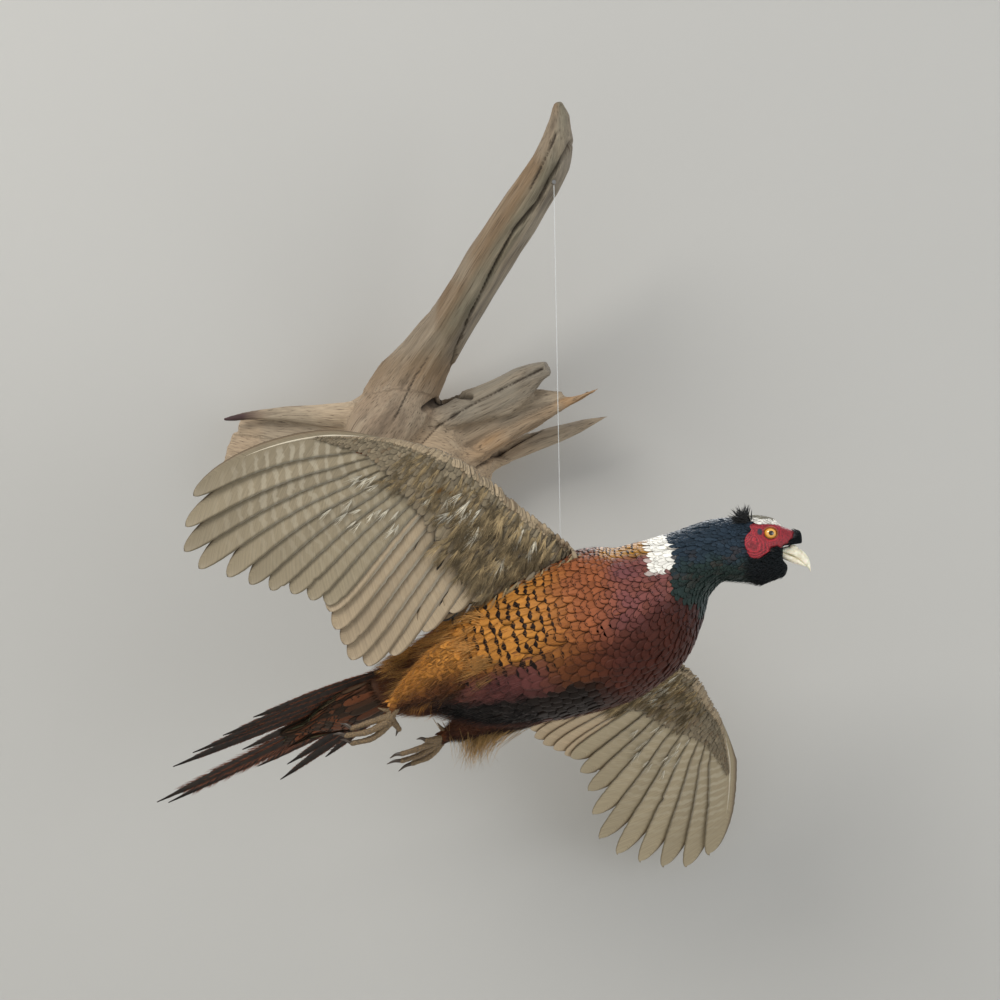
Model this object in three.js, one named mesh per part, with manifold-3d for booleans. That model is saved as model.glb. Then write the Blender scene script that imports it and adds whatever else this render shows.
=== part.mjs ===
// A mounted cock pheasant in banking flight, held off a piece of driftwood that hangs on a wall.
// Millimetres. The origin is on the driftwood's flat back, +X to the head's side, +Y into the wall, +Z up.

import * as THREE from 'three';
import { mergeVertices } from 'three/addons/utils/BufferGeometryUtils.js';
import ManifoldModule from 'manifold-3d';

const wasm = await ManifoldModule();
wasm.setup();

// ---- Driving dimensions ------------------------------------------------------------------------

const GAP = 0.3; // air between neighbouring solids
const TOLERANCE = 0.1; // how far a cut solid may differ from its exact shape
const HEADING = 6; // the trunk's axis turns this many degrees out of the wall's plane, to the room
const CLIMB = 17; // and rises this many degrees to the head
const BANK = 44; // the back is rolled this many degrees to the wall, so that the belly faces the room

// The body's spine from tail root to bill base: centre, then half width, height above and depth below it.
const SPINE = [
  { at: [-37, -262, -243], size: [23, 17, 17] }, // tail root
  { at: [-2, -268, -232], size: [37, 31, 28] }, // rump
  { at: [42, -277, -219], size: [56, 50, 53] }, // thighs
  { at: [95, -288, -201], size: [69, 62, 68] }, // belly
  { at: [146, -299, -183], size: [71, 66, 72] }, // shoulders
  { at: [181, -306, -168], size: [64, 57, 63] }, // breast
  { at: [204, -311, -152], size: [50, 50, 42] }, // crop
  { at: [223, -315, -137], size: [36, 41, 24] }, // neck's base
  { at: [244, -318, -122], size: [26, 31, 24] }, // collar
  { at: [264, -319, -117], size: [22, 28, 27] }, // nape
  { at: [281, -320, -114], size: [18.5, 28, 38] }, // ears and throat
  { at: [299, -320, -114], size: [14, 22, 30] }, // eyes
  { at: [312, -320, -116], size: [8, 15, 10] }, // bill's base
];
const RUMP_END = 1.6; // the cuts between the body's parts, counted in stations of SPINE
const TRUNK_END = 6.6;
const NECK_END = 9;
const BODY_SIDES = 18;

const EYE = { radius: 6, right: [288, -331, -103], left: [291, -309, -103] };

const BILL_UPPER = [
  { at: [303, -320, -114], size: [7.5, 5, 4] },
  { at: [312, -320, -117], size: [6.5, 5, 4] },
  { at: [319, -320, -123], size: [4.4, 4, 3.4] },
  { at: [325.5, -320, -134], size: [0.9, 1, 1] },
];
const BILL_LOWER = [
  { at: [300, -320, -123], size: [6.4, 3, 4] },
  { at: [309, -320, -126], size: [5.4, 3, 3.4] },
  { at: [317, -320, -129.5], size: [3.6, 2.4, 2.4] },
  { at: [322, -320, -131.5], size: [1.4, 1, 1] },
];
const EAR_TUFTS = {
  right: [[273, -331, -97], [267, -334, -87], [262, -336, -79]],
  left: [[275, -309, -95], [269, -306, -86], [265, -304, -80]],
};
const EAR_TUFT_RADII = [5, 3.5, 1];

// A wing lies in a plane of its own: x across it, z up it, y off it. The origin is the wrist.
const PRIMARY_COUNT = 10;
const SECONDARY_COUNT = 9;
const FEATHER_THICKNESS = 1.2;
const WINGS = {
  right: {
    wrist: [18, -335, -41],
    tilt: 5.5, // degrees about X, then turn about Z
    turn: 0,
    leading: -1, // the leading edge is clockwise of a feather seen from the room
    hand: [-41, 0, 11], // from wrist to the hand's tip
    elbow: [54, 6, -54],
    primaryAngles: [192.8, 229], // from the outermost feather to the innermost
    primarySpread: 0.8,
    primaryLengths: [181, 199, 212, 211, 197, 188, 180, 171, 166, 162],
    primaryBow: [20, 8],
    secondaryAngles: [231, 241],
    secondaryLengths: [165, 173, 178, 184, 179, 158, 124, 96, 76],
    // Leading edge, trailing edge of the coverts, each as x, y, z, and the arm's thickness between them.
    arm: [
      { lead: [116, 22, -88], trail: [80, 24, -140], thick: 24 },
      { lead: [92, 12, -66], trail: [42, 12, -134], thick: 22 },
      { lead: [68, 5, -47], trail: [16, 4, -122], thick: 18 },
      { lead: [38, 1, -22], trail: [-12, 0, -96], thick: 15 },
      { lead: [2, 0, 4], trail: [-44, 0, -66], thick: 11 },
    ],
    handCoverts: [
      { lead: [1, 0, 5], trail: [-45, 0, -65], thick: 11 },
      { lead: [-24, 0, 13], trail: [-76, 0, -46], thick: 9 },
      { lead: [-48, 0, 18], trail: [-100, 0, -27], thick: 6.5 },
      { lead: [-82, 0, 20], trail: [-118, 0, -8], thick: 4 },
      { lead: [-112, 0, 20], trail: [-124, 0, 8], thick: 2.4 },
    ],
  },
  left: {
    wrist: [240, -170, -241],
    tilt: 34,
    turn: 14,
    leading: 1,
    hand: [34, 0, -53],
    elbow: [-50, -6, 22],
    primaryAngles: [-82, -141],
    primarySpread: 1.03,
    primaryLengths: [165, 185, 190, 191, 191, 183, 164, 147, 139, 137],
    primaryBow: [9, 6],
    secondaryAngles: [-144, -166],
    secondaryLengths: [140, 142, 144, 144, 140, 132, 120, 108, 96],
    arm: [
      { lead: [-84, -26, 84], trail: [-118, -20, 20], thick: 24 },
      { lead: [-62, -18, 62], trail: [-112, -10, 0], thick: 20 },
      { lead: [-40, -10, 40], trail: [-98, -3, -22], thick: 16 },
      { lead: [-18, -3, 20], trail: [-78, 0, -40], thick: 13 },
      { lead: [2, 0, 4], trail: [-54, 0, -56], thick: 11 },
    ],
    handCoverts: [
      { lead: [3, 0, 3], trail: [-53, 0, -57], thick: 11 },
      { lead: [20, 0, -23], trail: [-30, 0, -80], thick: 9 },
      { lead: [37, 0, -50], trail: [-2, 0, -98], thick: 6.5 },
      { lead: [49, 0, -84], trail: [24, 0, -114], thick: 4 },
      { lead: [57, 0, -112], trail: [46, 0, -124], thick: 2.4 },
    ],
  },
};

// Tail feathers: where each starts, in mm to the bird's left, its splay in degrees, length and width.
const TAIL = [
  { start: -28, splay: 3, length: 120, width: 15 },
  { start: -24, splay: 6, length: 154, width: 15 },
  { start: -22, splay: 7.5, length: 188, width: 15 },
  { start: -18, splay: 8.5, length: 212, width: 16 },
  { start: -10, splay: 11, length: 176, width: 16 },
  { start: 0, splay: 13, length: 251, width: 18 },
  { start: 4, splay: 14.5, length: 243, width: 17 },
  { start: 8, splay: 17, length: 210, width: 15 },
  { start: 12, splay: 20, length: 170, width: 15 },
  { start: 14, splay: 26, length: 147, width: 14 },
  { start: 16, splay: 33, length: 112, width: 14 },
];
const TAIL_STEP = 0.25; // each tail feather lies this much further to the back than the last
const TAIL_COVERTS = {
  splay: 12,
  lengths: [0, 26, 54, 84],
  sizes: [[24, 17, 16], [26, 14, 15], [20, 8, 11], [9, 2, 4]],
};

const THIGHS = {
  right: {
    line: [[50, -300, -205], [16, -308, -222], [-8, -314, -236], [-27, -317, -248]],
    sizes: [[30, 26, 28], [27, 22, 24], [17, 14, 15], [7, 6, 6]],
    tuft: [[6, -312, -232], [-8, -314, -248], [-16, -314, -257]],
    tuftRadii: [15, 9, 2],
  },
  left: {
    line: [[92, -262, -246], [62, -262, -258], [34, -262, -272], [16, -262, -281]],
    sizes: [[28, 24, 26], [25, 20, 22], [15, 12, 14], [6, 5, 6]],
    tuft: [[50, -262, -272], [43, -262, -292], [36, -262, -312]],
    tuftRadii: [17, 12, 1.5],
  },
};

// A foot: the shank's line, then each toe's line with its claw's tip as the last point.
const SHANK_RADII = [5, 4.2, 4.6];
const TOE_RADII = [3.4, 2.7, 2.2];
const CLAW_RADII = [1.9, 1.3, 0.5];
const SPUR_RADII = [2.6, 1.8, 0.7];
const FEET = {
  right: {
    shank: [[-20, -316, -241], [-29, -318, -252], [-35, -318, -262]],
    spur: [[-30, -318, -254], [-37, -319, -255], [-44, -320, -253]],
    toes: {
      inner: [[-34, -319, -260], [-50, -318, -265], [-67, -315, -271], [-77, -312, -267]],
      middle: [[-35, -319, -264], [-52, -319, -273], [-72, -316, -277], [-83, -315, -276]],
      outer: [[-34, -317, -266], [-49, -315, -279], [-67, -313, -284], [-77, -311, -281]],
      hind: [[-34, -315, -262], [-30, -309, -268], [-27, -304, -273], [-30, -300, -279]],
    },
  },
  left: {
    shank: [[26, -262, -275], [14, -262, -281], [7, -262, -287]],
    spur: [[14, -263, -281], [9, -264, -277], [5, -264, -272]],
    toes: {
      inner: [[5, -264, -287], [-11, -265, -294], [-27, -264, -299], [-37, -262, -303]],
      middle: [[5, -261, -290], [-10, -259, -300], [-27, -257, -306], [-40, -256, -309]],
      outer: [[8, -259, -290], [-2, -255, -302], [-18, -252, -309], [-30, -250, -316]],
      hind: [[7, -266, -285], [0, -270, -286], [-5, -272, -286], [-13, -273, -285]],
    },
  },
};

// Driftwood: each limb's line with its half width, height above and depth below.
const WOOD = {
  root: {
    line: [[-96, -34, -46], [-55, -32, -36], [-12, -31, -27], [26, -35, -36], [54, -36, -42]],
    sizes: [[28, 30, 36], [47, 54, 64], [52, 54, 68], [44, 40, 46], [22, 20, 20]],
    rough: 0.05,
  },
  branch: {
    line: [[-50, -58, 0], [-38, -63, 25], [-19, -77, 53], [10, -102, 91], [41, -137, 135], [62, -164, 166],
      [96, -205, 213], [109, -222, 237], [114, -236, 264], [112, -240, 281]],
    sizes: [[34, 34, 34], [30, 37, 37], [26, 30, 34], [24, 23, 27], [23, 22, 23], [22, 22, 22], [21, 21, 20],
      [19, 18, 18], [13, 11, 11], [5, 4, 4]],
    rough: 0.04,
  },
  slab: {
    line: [[-211, -38, -29], [-190, -40, -35], [-160, -40, -43], [-120, -40, -52], [-84, -40, -54]],
    sizes: [[8, 23, 20], [12, 32, 40], [16, 42, 62], [19, 52, 68], [22, 58, 60]],
    rough: 0.03,
  },
  horn: {
    line: [[-211, -58, 4], [-185, -60, 8], [-151, -61, 10], [-110, -58, 9], [-62, -54, 6]],
    sizes: [[1.5, 1.5, 1.5], [5, 5, 5], [9, 8, 9], [14, 11, 14], [22, 24, 22]],
    rough: 0.06,
  },
  prong_upper: {
    line: [[-2, -62, 2], [31, -74, 18], [60, -86, 31], [88, -100, 46], [106, -110, 53]],
    sizes: [[16, 18, 20], [13, 15, 24], [11, 13, 25], [9, 11, 19], [5, 7, 10]],
    rough: 0.07,
  },
  prong_middle: {
    line: [[4, -52, -34], [34, -57, -24], [70, -70, -4], [104, -86, 11], [132, -98, 21], [155, -107, 32]],
    sizes: [[18, 20, 22], [16, 18, 20], [12, 14, 15], [9, 12, 10], [5, 6, 5], [1.2, 1.2, 1.2]],
    rough: 0.08,
  },
  prong_lower: {
    line: [[18, -34, -52], [50, -40, -36], [90, -48, -18], [124, -55, -7], [148, -62, 1], [166, -68, 7]],
    sizes: [[14, 14, 16], [13, 12, 14], [11, 10, 12], [9, 7, 9], [6, 5, 6], [1.5, 2, 2]],
    rough: 0.07,
  },
};
const WALL_CLEARANCE = 200; // the block that saws the root's back flat reaches this far

const HANGER = { width: 44, height: 14, thickness: 1.6, centre: [-14, -18], pocketDepth: 2.6 };
const ROD = { radius: 2.5, from: [84, -244, -166], to: [8, -64, -50] };
const LINE = { radius: 0.4, top: [108.5, -228.5, 208], bottom: [114.5, -240, -139] };
const TACK = { radius: 1.8, length: 16, head: [108.5, -229.8, 211] };
const EYELET = { radius: 1.6, length: 16 };

// ---- Solids ------------------------------------------------------------------------------------

const vector = (list) => new THREE.Vector3(...list);
const mix = THREE.MathUtils.lerp;
const radians = THREE.MathUtils.degToRad;

function solidOf(geometry) {
  const bare = geometry.clone();
  bare.deleteAttribute('normal');
  bare.deleteAttribute('uv');
  const welded = mergeVertices(bare, 1e-4);
  const mesh = new wasm.Mesh({
    numProp: 3,
    vertProperties: new Float32Array(welded.attributes.position.array),
    triVerts: new Uint32Array(welded.index.array),
  });
  return new wasm.Manifold(mesh);
}

function geometryOf(solid) {
  const mesh = solid.getMesh();
  const geometry = new THREE.BufferGeometry();
  geometry.setAttribute('position', new THREE.BufferAttribute(new Float32Array(mesh.vertProperties), 3));
  geometry.setIndex(new THREE.BufferAttribute(new Uint32Array(mesh.triVerts), 1));
  return geometry;
}

// A cut can leave loose crumbs beside the piece: only the largest body is kept, without needless edges.
function largest(solid) {
  const bodies = solid.decompose();
  return bodies.reduce((best, body) => (body.volume() > best.volume() ? body : best)).simplify(TOLERANCE);
}

const carve = (solid, ...cutters) => largest(cutters.reduce((rest, cutter) => rest.subtract(cutter), solid));
const join = (solids) => solids.reduce((whole, solid) => whole.add(solid));

// A smooth run through stations: t from 0 to 1 gives a centre, a frame along the run and the half sizes.
function runOf(points, sizes, upAt) {
  const centres = new THREE.CatmullRomCurve3(points.map(vector));
  const extents = new THREE.CatmullRomCurve3(sizes.map(vector));
  return (t) => {
    const forward = centres.getTangent(t);
    const left = new THREE.Vector3().crossVectors(upAt(t), forward).normalize();
    const up = new THREE.Vector3().crossVectors(forward, left);
    return { centre: centres.getPoint(t), size: extents.getPoint(t), forward, left, up };
  };
}

// A closed skin over a run, from a cylinder whose rings are laid on the run's sections.
// grow swells it on every side, and trim draws its ends in.
function loft(run, { sides, rings, from = 0, to = 1, grow = 0, trim = 0, rough = 0 }) {
  const geometry = new THREE.CylinderGeometry(1, 1, 1, sides, rings);
  const position = geometry.attributes.position;
  const point = new THREE.Vector3();
  for (let i = 0; i < position.count; i++) {
    point.fromBufferAttribute(position, i);
    const t = mix(from, to, point.y + 0.5);
    const section = run(t);
    const angle = Math.atan2(point.z, point.x);
    const swell = 1 + rough * (Math.sin(3 * angle + 5 * t) + Math.sin(7 * angle - 9 * t) + Math.cos(11 * t));
    const tall = (point.x > 0 ? section.size.y : section.size.z) * swell + grow;
    const wide = section.size.x * swell + grow;
    const atEnd = Math.abs(point.y) > 0.499 ? Math.sign(point.y) : 0;
    const place = section.centre
      .addScaledVector(section.up, point.x * tall)
      .addScaledVector(section.left, point.z * wide)
      .addScaledVector(section.forward, atEnd * (grow - trim));
    position.setXYZ(i, place.x, place.y, place.z);
  }
  return solidOf(geometry);
}

// A tapered round limb along a few points, such as a toe.
function limb(points, radii, { sides = 5, rings = 3, grow = 0, trim = 0, from = 0, to = 1 } = {}) {
  const sizes = radii.map((radius) => [radius, radius, radius]);
  const run = runOf(points, sizes, () => new THREE.Vector3(0.1, -0.3, 1));
  return loft(run, { sides, rings, grow, trim, from, to });
}

function rodBetween(start, end, radius, sides = 8) {
  const path = new THREE.Vector3().subVectors(end, start);
  const geometry = new THREE.CylinderGeometry(radius, radius, path.length(), sides);
  const along = path.clone().normalize();
  geometry.applyQuaternion(new THREE.Quaternion().setFromUnitVectors(new THREE.Vector3(0, 1, 0), along));
  geometry.translate(...new THREE.Vector3().addVectors(start, end).multiplyScalar(0.5).toArray());
  return solidOf(geometry);
}

function block(width, depth, height, centre) {
  const geometry = new THREE.BoxGeometry(width, depth, height);
  geometry.translate(...centre);
  return solidOf(geometry);
}

function ball(radius, centre, segments = 12) {
  const geometry = new THREE.SphereGeometry(radius, segments, segments / 2);
  geometry.translate(...centre);
  return solidOf(geometry);
}

// ---- The bird's axes ---------------------------------------------------------------------------

const turned = (x, y, z) => new THREE.Vector3(x, y, z)
  .applyAxisAngle(new THREE.Vector3(1, 0, 0), radians(-BANK))
  .applyAxisAngle(new THREE.Vector3(0, 1, 0), radians(-CLIMB))
  .applyAxisAngle(new THREE.Vector3(0, 0, 1), radians(-HEADING));
const FORWARD = turned(1, 0, 0);
const LEFT = turned(0, 1, 0);
const DORSAL = turned(0, 0, 1);
const HEAD_UP = new THREE.Vector3(0.05, 0.08, 1); // the neck twists until the head is level
const TWIST = [4.5, 9]; // the stations of SPINE between which it twists

// ---- Trunk, neck and head ----------------------------------------------------------------------

const LAST_STATION = SPINE.length - 1;
const bodyRun = runOf(
  SPINE.map((station) => station.at),
  SPINE.map((station) => station.size),
  (t) => DORSAL.clone().lerp(HEAD_UP, THREE.MathUtils.smoothstep(t * LAST_STATION, ...TWIST)),
);

function bodyPart(first, last, rings, grow = 0) {
  const inset = grow > 0 ? 0 : GAP / 2;
  const [from, to] = [first / LAST_STATION, last / LAST_STATION];
  return loft(bodyRun, { sides: BODY_SIDES, rings, from, to, grow, trim: inset });
}

const rump = bodyPart(0, RUMP_END, 4);
const trunk = bodyPart(RUMP_END, TRUNK_END, 12);
const neck = bodyPart(TRUNK_END, NECK_END, 6);
const rumpClear = bodyPart(0, RUMP_END, 4, GAP);
const trunkClear = rumpClear.add(bodyPart(RUMP_END, TRUNK_END, 12, GAP));

const eyeBalls = { right: ball(EYE.radius, EYE.right), left: ball(EYE.radius, EYE.left) };
const eyePits = [EYE.right, EYE.left].map((centre) => ball(EYE.radius + GAP, centre));
const head = carve(bodyPart(NECK_END, LAST_STATION, 8), ...eyePits);
const headClear = bodyPart(NECK_END, LAST_STATION, 8, GAP);
const neckClear = bodyPart(TRUNK_END, NECK_END, 6, GAP);

function billRun(stations) {
  return runOf(stations.map((s) => s.at), stations.map((s) => s.size), () => new THREE.Vector3(0.2, 0, 1));
}
const billShape = { sides: 8, rings: 4 };
const billUpper = carve(loft(billRun(BILL_UPPER), billShape), headClear);
const billUpperClear = loft(billRun(BILL_UPPER), { ...billShape, grow: GAP });
const billLower = carve(loft(billRun(BILL_LOWER), billShape), headClear, billUpperClear);

const earTuft = (side) => carve(limb(EAR_TUFTS[side], EAR_TUFT_RADII), headClear, neckClear);

// ---- Wings -------------------------------------------------------------------------------------

function wingFrame(wing) {
  const turn = new THREE.Matrix4().makeRotationZ(radians(wing.turn));
  const tilt = new THREE.Matrix4().makeRotationX(radians(wing.tilt));
  return new THREE.Matrix4().makeTranslation(...wing.wrist).multiply(turn).multiply(tilt);
}

// A vane's width along its length, as a share of its full width: narrow quill, full middle, round tip.
const vaneShare = (t) => Math.min(0.3 + 2.2 * t, 1) * Math.sqrt(Math.max(1 - t ** 7, 0.02));

// One flight feather as a thin curved blade in the x-z plane.
function blade({ root, angle, length, width, bow, leading, droop, twist, steps }) {
  const geometry = new THREE.BoxGeometry(1, 1, 1, steps, 1, 1);
  const position = geometry.attributes.position;
  const along = new THREE.Vector3(Math.cos(angle), 0, Math.sin(angle));
  const across = new THREE.Vector3(-Math.sin(angle), 0, Math.cos(angle));
  for (let i = 0; i < position.count; i++) {
    const t = 1 - (0.5 - position.getX(i)) ** 2;
    const side = position.getY(i) * width * vaneShare(t);
    const place = vector(root)
      .addScaledVector(along, length * t)
      .addScaledVector(across, side + leading * 4 * bow * t * (1 - t));
    place.y -= position.getZ(i) * FEATHER_THICKNESS - leading * twist * position.getY(i) + droop * t * t;
    position.setXYZ(i, place.x, place.y, place.z);
  }
  return solidOf(geometry);
}

const TWIST_ACROSS = 0.5; // each feather's inner edge lies this much nearer the room, over the next one
const TIP_DROOP = 7; // the feathers' tips curve to the underside

function featherFan(wing, { count, lengths, angles, spread, bows, rootAt, width, steps }) {
  const blades = [];
  for (let i = 0; i < count; i++) {
    const share = i / (count - 1);
    const feather = {
      root: rootAt(share),
      angle: radians(mix(angles[0], angles[1], share ** spread)),
      length: lengths[i],
      width: width(share),
      bow: mix(bows[0], bows[1], share),
      leading: wing.leading,
      steps,
      droop: TIP_DROOP,
      twist: TWIST_ACROSS,
    };
    blades.push(blade(feather).transform(wingFrame(wing).elements));
  }
  return join(blades);
}

function wingSection(stations) {
  const leads = new THREE.CatmullRomCurve3(stations.map((s) => vector(s.lead)));
  const trails = new THREE.CatmullRomCurve3(stations.map((s) => vector(s.trail)));
  const thick = new THREE.CatmullRomCurve3(stations.map((s) => new THREE.Vector3(s.thick, 0, 0)));
  return (t) => ({ lead: leads.getPoint(t), trail: trails.getPoint(t), thick: thick.getPoint(t).x });
}

// The arm and its coverts: an aerofoil, thick at the leading edge and thin behind.
function aerofoil(wing, stations, { rings, grow = 0, trim = 0 }) {
  const section = wingSection(stations);
  const geometry = new THREE.CylinderGeometry(1, 1, 1, 10, rings);
  const position = geometry.attributes.position;
  for (let i = 0; i < position.count; i++) {
    const t = position.getY(i) + 0.5;
    const { lead, trail, thick } = section(t);
    const chord = new THREE.Vector3().subVectors(trail, lead);
    const share = (1 + position.getX(i)) / 2; // 0 at the leading edge, 1 at the trailing edge
    const swell = Math.sign(position.getZ(i)) * Math.sqrt(Math.abs(position.getZ(i)));
    const half = mix(thick / 2, FEATHER_THICKNESS, share) + grow;
    const place = lead.clone().addScaledVector(chord, share);
    place.addScaledVector(chord.clone().normalize(), (share - 0.5) * 2 * grow);
    place.y -= wing.leading * swell * half;
    const along = section(Math.min(t + 0.01, 1)).lead.sub(section(Math.max(t - 0.01, 0)).lead).normalize();
    const atEnd = Math.abs(position.getY(i)) > 0.499 ? Math.sign(position.getY(i)) : 0;
    place.addScaledVector(along, atEnd * (grow - trim));
    position.setXYZ(i, place.x, place.y, place.z);
  }
  return solidOf(geometry).transform(wingFrame(wing).elements);
}

// A big block on one side of the line between the innermost primary and the first secondary.
function fanDivider(wing, side) {
  const size = 400;
  const angle = radians((wing.primaryAngles[1] + wing.secondaryAngles[0]) / 2);
  const geometry = new THREE.BoxGeometry(size, size, size);
  geometry.translate(size * 0.45, 0, side * wing.leading * (size / 2 - GAP / 2));
  geometry.rotateY(-angle);
  return solidOf(geometry).transform(wingFrame(wing).elements);
}

function makeWing(name) {
  const wing = WINGS[name];
  const arm = carve(aerofoil(wing, wing.arm, { rings: 6, trim: GAP / 2 }), trunkClear, headClear);
  const hand = aerofoil(wing, wing.handCoverts, { rings: 6, trim: GAP });
  const coverts = [
    aerofoil(wing, wing.arm, { rings: 6, grow: GAP }),
    aerofoil(wing, wing.handCoverts, { rings: 6, grow: GAP }),
  ];
  const primaries = featherFan(wing, {
    count: PRIMARY_COUNT,
    lengths: wing.primaryLengths,
    angles: wing.primaryAngles,
    spread: wing.primarySpread,
    bows: wing.primaryBow,
    rootAt: (share) => vector(wing.hand).multiplyScalar(1 - share).toArray(),
    width: (share) => mix(19, 27, share),
    steps: 4,
  });
  const secondaries = featherFan(wing, {
    count: SECONDARY_COUNT,
    lengths: wing.secondaryLengths,
    angles: wing.secondaryAngles,
    spread: 1,
    bows: [5, 3],
    rootAt: (share) => vector(wing.elbow).multiplyScalar(share).toArray(),
    width: () => 30,
    steps: 3,
  });
  return {
    arm,
    hand: carve(hand, aerofoil(wing, wing.arm, { rings: 6, grow: GAP })),
    primaries: carve(primaries, ...coverts, fanDivider(wing, -1), trunkClear),
    secondaries: carve(secondaries, ...coverts, fanDivider(wing, 1), trunkClear),
  };
}

// ---- Tail --------------------------------------------------------------------------------------

const tailRoot = vector(SPINE[0].at);
const tailAxis = (splay) => FORWARD.clone().negate()
  .multiplyScalar(Math.cos(radians(splay)))
  .addScaledVector(LEFT, Math.sin(radians(splay)));

function tailFeather({ start, splay, length, width }, rank) {
  const geometry = new THREE.BoxGeometry(1, 1, 1, 4, 1, 1);
  const position = geometry.attributes.position;
  const along = tailAxis(splay);
  const across = new THREE.Vector3().crossVectors(DORSAL, along);
  for (let i = 0; i < position.count; i++) {
    const t = 1 - (0.5 - position.getX(i)) ** 1.6;
    const half = width * Math.min(0.6 + t, 1) * Math.sqrt(Math.max(1 - t ** 3, 0.01));
    const place = tailRoot.clone()
      .addScaledVector(LEFT, start)
      .addScaledVector(along, length * t)
      .addScaledVector(across, position.getY(i) * half)
      .addScaledVector(DORSAL, rank * TAIL_STEP + position.getZ(i) * FEATHER_THICKNESS);
    position.setXYZ(i, place.x, place.y, place.z);
  }
  return solidOf(geometry);
}

const tailCovertLine = TAIL_COVERTS.lengths.map((length) => tailRoot.clone()
  .addScaledVector(tailAxis(TAIL_COVERTS.splay), length)
  .toArray());
const tailCovertRun = runOf(tailCovertLine, TAIL_COVERTS.sizes, () => DORSAL.clone());
const tailCovertShape = { sides: 12, rings: 4 };
const tailCoverts = carve(loft(tailCovertRun, tailCovertShape), rumpClear);
const tailCovertsClear = loft(tailCovertRun, { ...tailCovertShape, grow: GAP });
const tail = carve(join(TAIL.map(tailFeather)), tailCovertsClear, rumpClear);

// ---- Legs --------------------------------------------------------------------------------------

const bodyClear = trunkClear.add(tailCovertsClear);

function thigh(side, grow = 0) {
  const { line, sizes, tuft, tuftRadii } = THIGHS[side];
  const run = runOf(line, sizes, () => DORSAL.clone());
  return loft(run, { sides: 10, rings: 4, grow }).add(limb(tuft, tuftRadii, { sides: 6, grow }));
}

function makeLeg(side) {
  const { shank, spur, toes } = FEET[side];
  const thighClear = thigh(side, GAP);
  const toeLimbs = Object.values(toes).map((line) => limb(line.slice(0, -1), TOE_RADII));
  const toesClear = Object.values(toes).map((line) => limb(line.slice(0, -1), TOE_RADII, { grow: GAP }));
  const foot = join([limb(shank, SHANK_RADII), limb(spur, SPUR_RADII), ...toeLimbs]);
  const pieces = {
    [`thigh_${side}`]: carve(thigh(side), bodyClear),
    [`foot_${side}`]: carve(foot, thighClear, bodyClear),
  };
  for (const [toe, line] of Object.entries(toes)) {
    const end = vector(line.at(-2));
    const tip = vector(line.at(-1));
    const middle = end.clone().lerp(tip, 0.5).add(new THREE.Vector3(0, -0.5, 1.2));
    const points = [end.toArray(), middle.toArray(), tip.toArray()];
    const claw = limb(points, CLAW_RADII, { sides: 4, rings: 2 });
    pieces[`claw_${side}_${toe}`] = carve(claw, ...toesClear, thighClear);
  }
  return pieces;
}

// ---- Driftwood and fittings --------------------------------------------------------------------

function woodLimb(name, grow = 0) {
  const { line, sizes, rough } = WOOD[name];
  const run = runOf(line, sizes, () => new THREE.Vector3(-0.3, 0, 1));
  return loft(run, { sides: 10, rings: Math.round(1.2 * line.length), grow, rough });
}

const wall = block(2 * WALL_CLEARANCE, WALL_CLEARANCE, 2 * WALL_CLEARANCE, [0, WALL_CLEARANCE / 2, 0]);
const [hangerX, hangerZ] = HANGER.centre;
const hangerDepth = HANGER.thickness + GAP;
const hanger = block(
  HANGER.width,
  HANGER.thickness,
  HANGER.height,
  [hangerX, HANGER.thickness / 2 - hangerDepth, hangerZ],
);
const hangerPocket = block(
  HANGER.width + 2 * GAP,
  2 * HANGER.pocketDepth,
  HANGER.height + 2 * GAP,
  [hangerX, 0, hangerZ],
);

const rodClear = rodBetween(vector(ROD.from), vector(ROD.to), ROD.radius + GAP);
const tackClear = rodBetween(
  vector(TACK.head),
  vector(TACK.head).add(new THREE.Vector3(0, TACK.length, 0)),
  TACK.radius + GAP,
);

// The limbs are cut by those already laid, so that each meets its neighbours without overlapping them.
function makeDriftwood() {
  const pieces = {};
  const laid = [];
  for (const name of Object.keys(WOOD)) {
    pieces[`driftwood_${name}`] = carve(woodLimb(name), wall, hangerPocket, rodClear, tackClear, ...laid);
    laid.push(woodLimb(name, GAP));
  }
  return pieces;
}

const rod = rodBetween(vector(ROD.from), vector(ROD.to), ROD.radius);
const tackTip = vector(TACK.head).add(new THREE.Vector3(0, TACK.length, 0));
const tack = rodBetween(vector(TACK.head), tackTip, TACK.radius);
const lineTop = vector(LINE.top);
const lineBottom = vector(LINE.bottom);
const line = rodBetween(lineTop, lineBottom, LINE.radius);
const lineDown = new THREE.Vector3().subVectors(lineBottom, lineTop).normalize();
const eyeletTop = lineBottom.clone().addScaledVector(lineDown, GAP);
const eyeletFoot = eyeletTop.clone().addScaledVector(lineDown, EYELET.length);
const eyelet = rodBetween(eyeletTop, eyeletFoot, EYELET.radius);

// ---- Assembly ----------------------------------------------------------------------------------

const MATERIALS = {
  wood: { color: 0x8f7a62, roughness: 0.9 },
  metal: { color: 0x8c8c8a, roughness: 0.35, metalness: 1 },
  nylon: { color: 0xd8dcdc, roughness: 0.3 },
  breast: { color: 0x9a5a2a, roughness: 0.7 },
  neckGreen: { color: 0x17343a, roughness: 0.45 },
  underwing: { color: 0xa89c86, roughness: 0.75 },
  tailBrown: { color: 0x4a3426, roughness: 0.75 },
  bill: { color: 0xd9d3b8, roughness: 0.5 },
  iris: { color: 0xd9a21e, roughness: 0.1 },
  scale: { color: 0x8a7c64, roughness: 0.6 },
  claw: { color: 0x2c241d, roughness: 0.45 },
};

const model = new THREE.Group();

function addMesh(name, solid, look) {
  const material = new THREE.MeshStandardMaterial({ metalness: 0, ...MATERIALS[look] });
  const mesh = new THREE.Mesh(geometryOf(solid), material);
  mesh.name = name;
  model.add(mesh);
}

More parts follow.
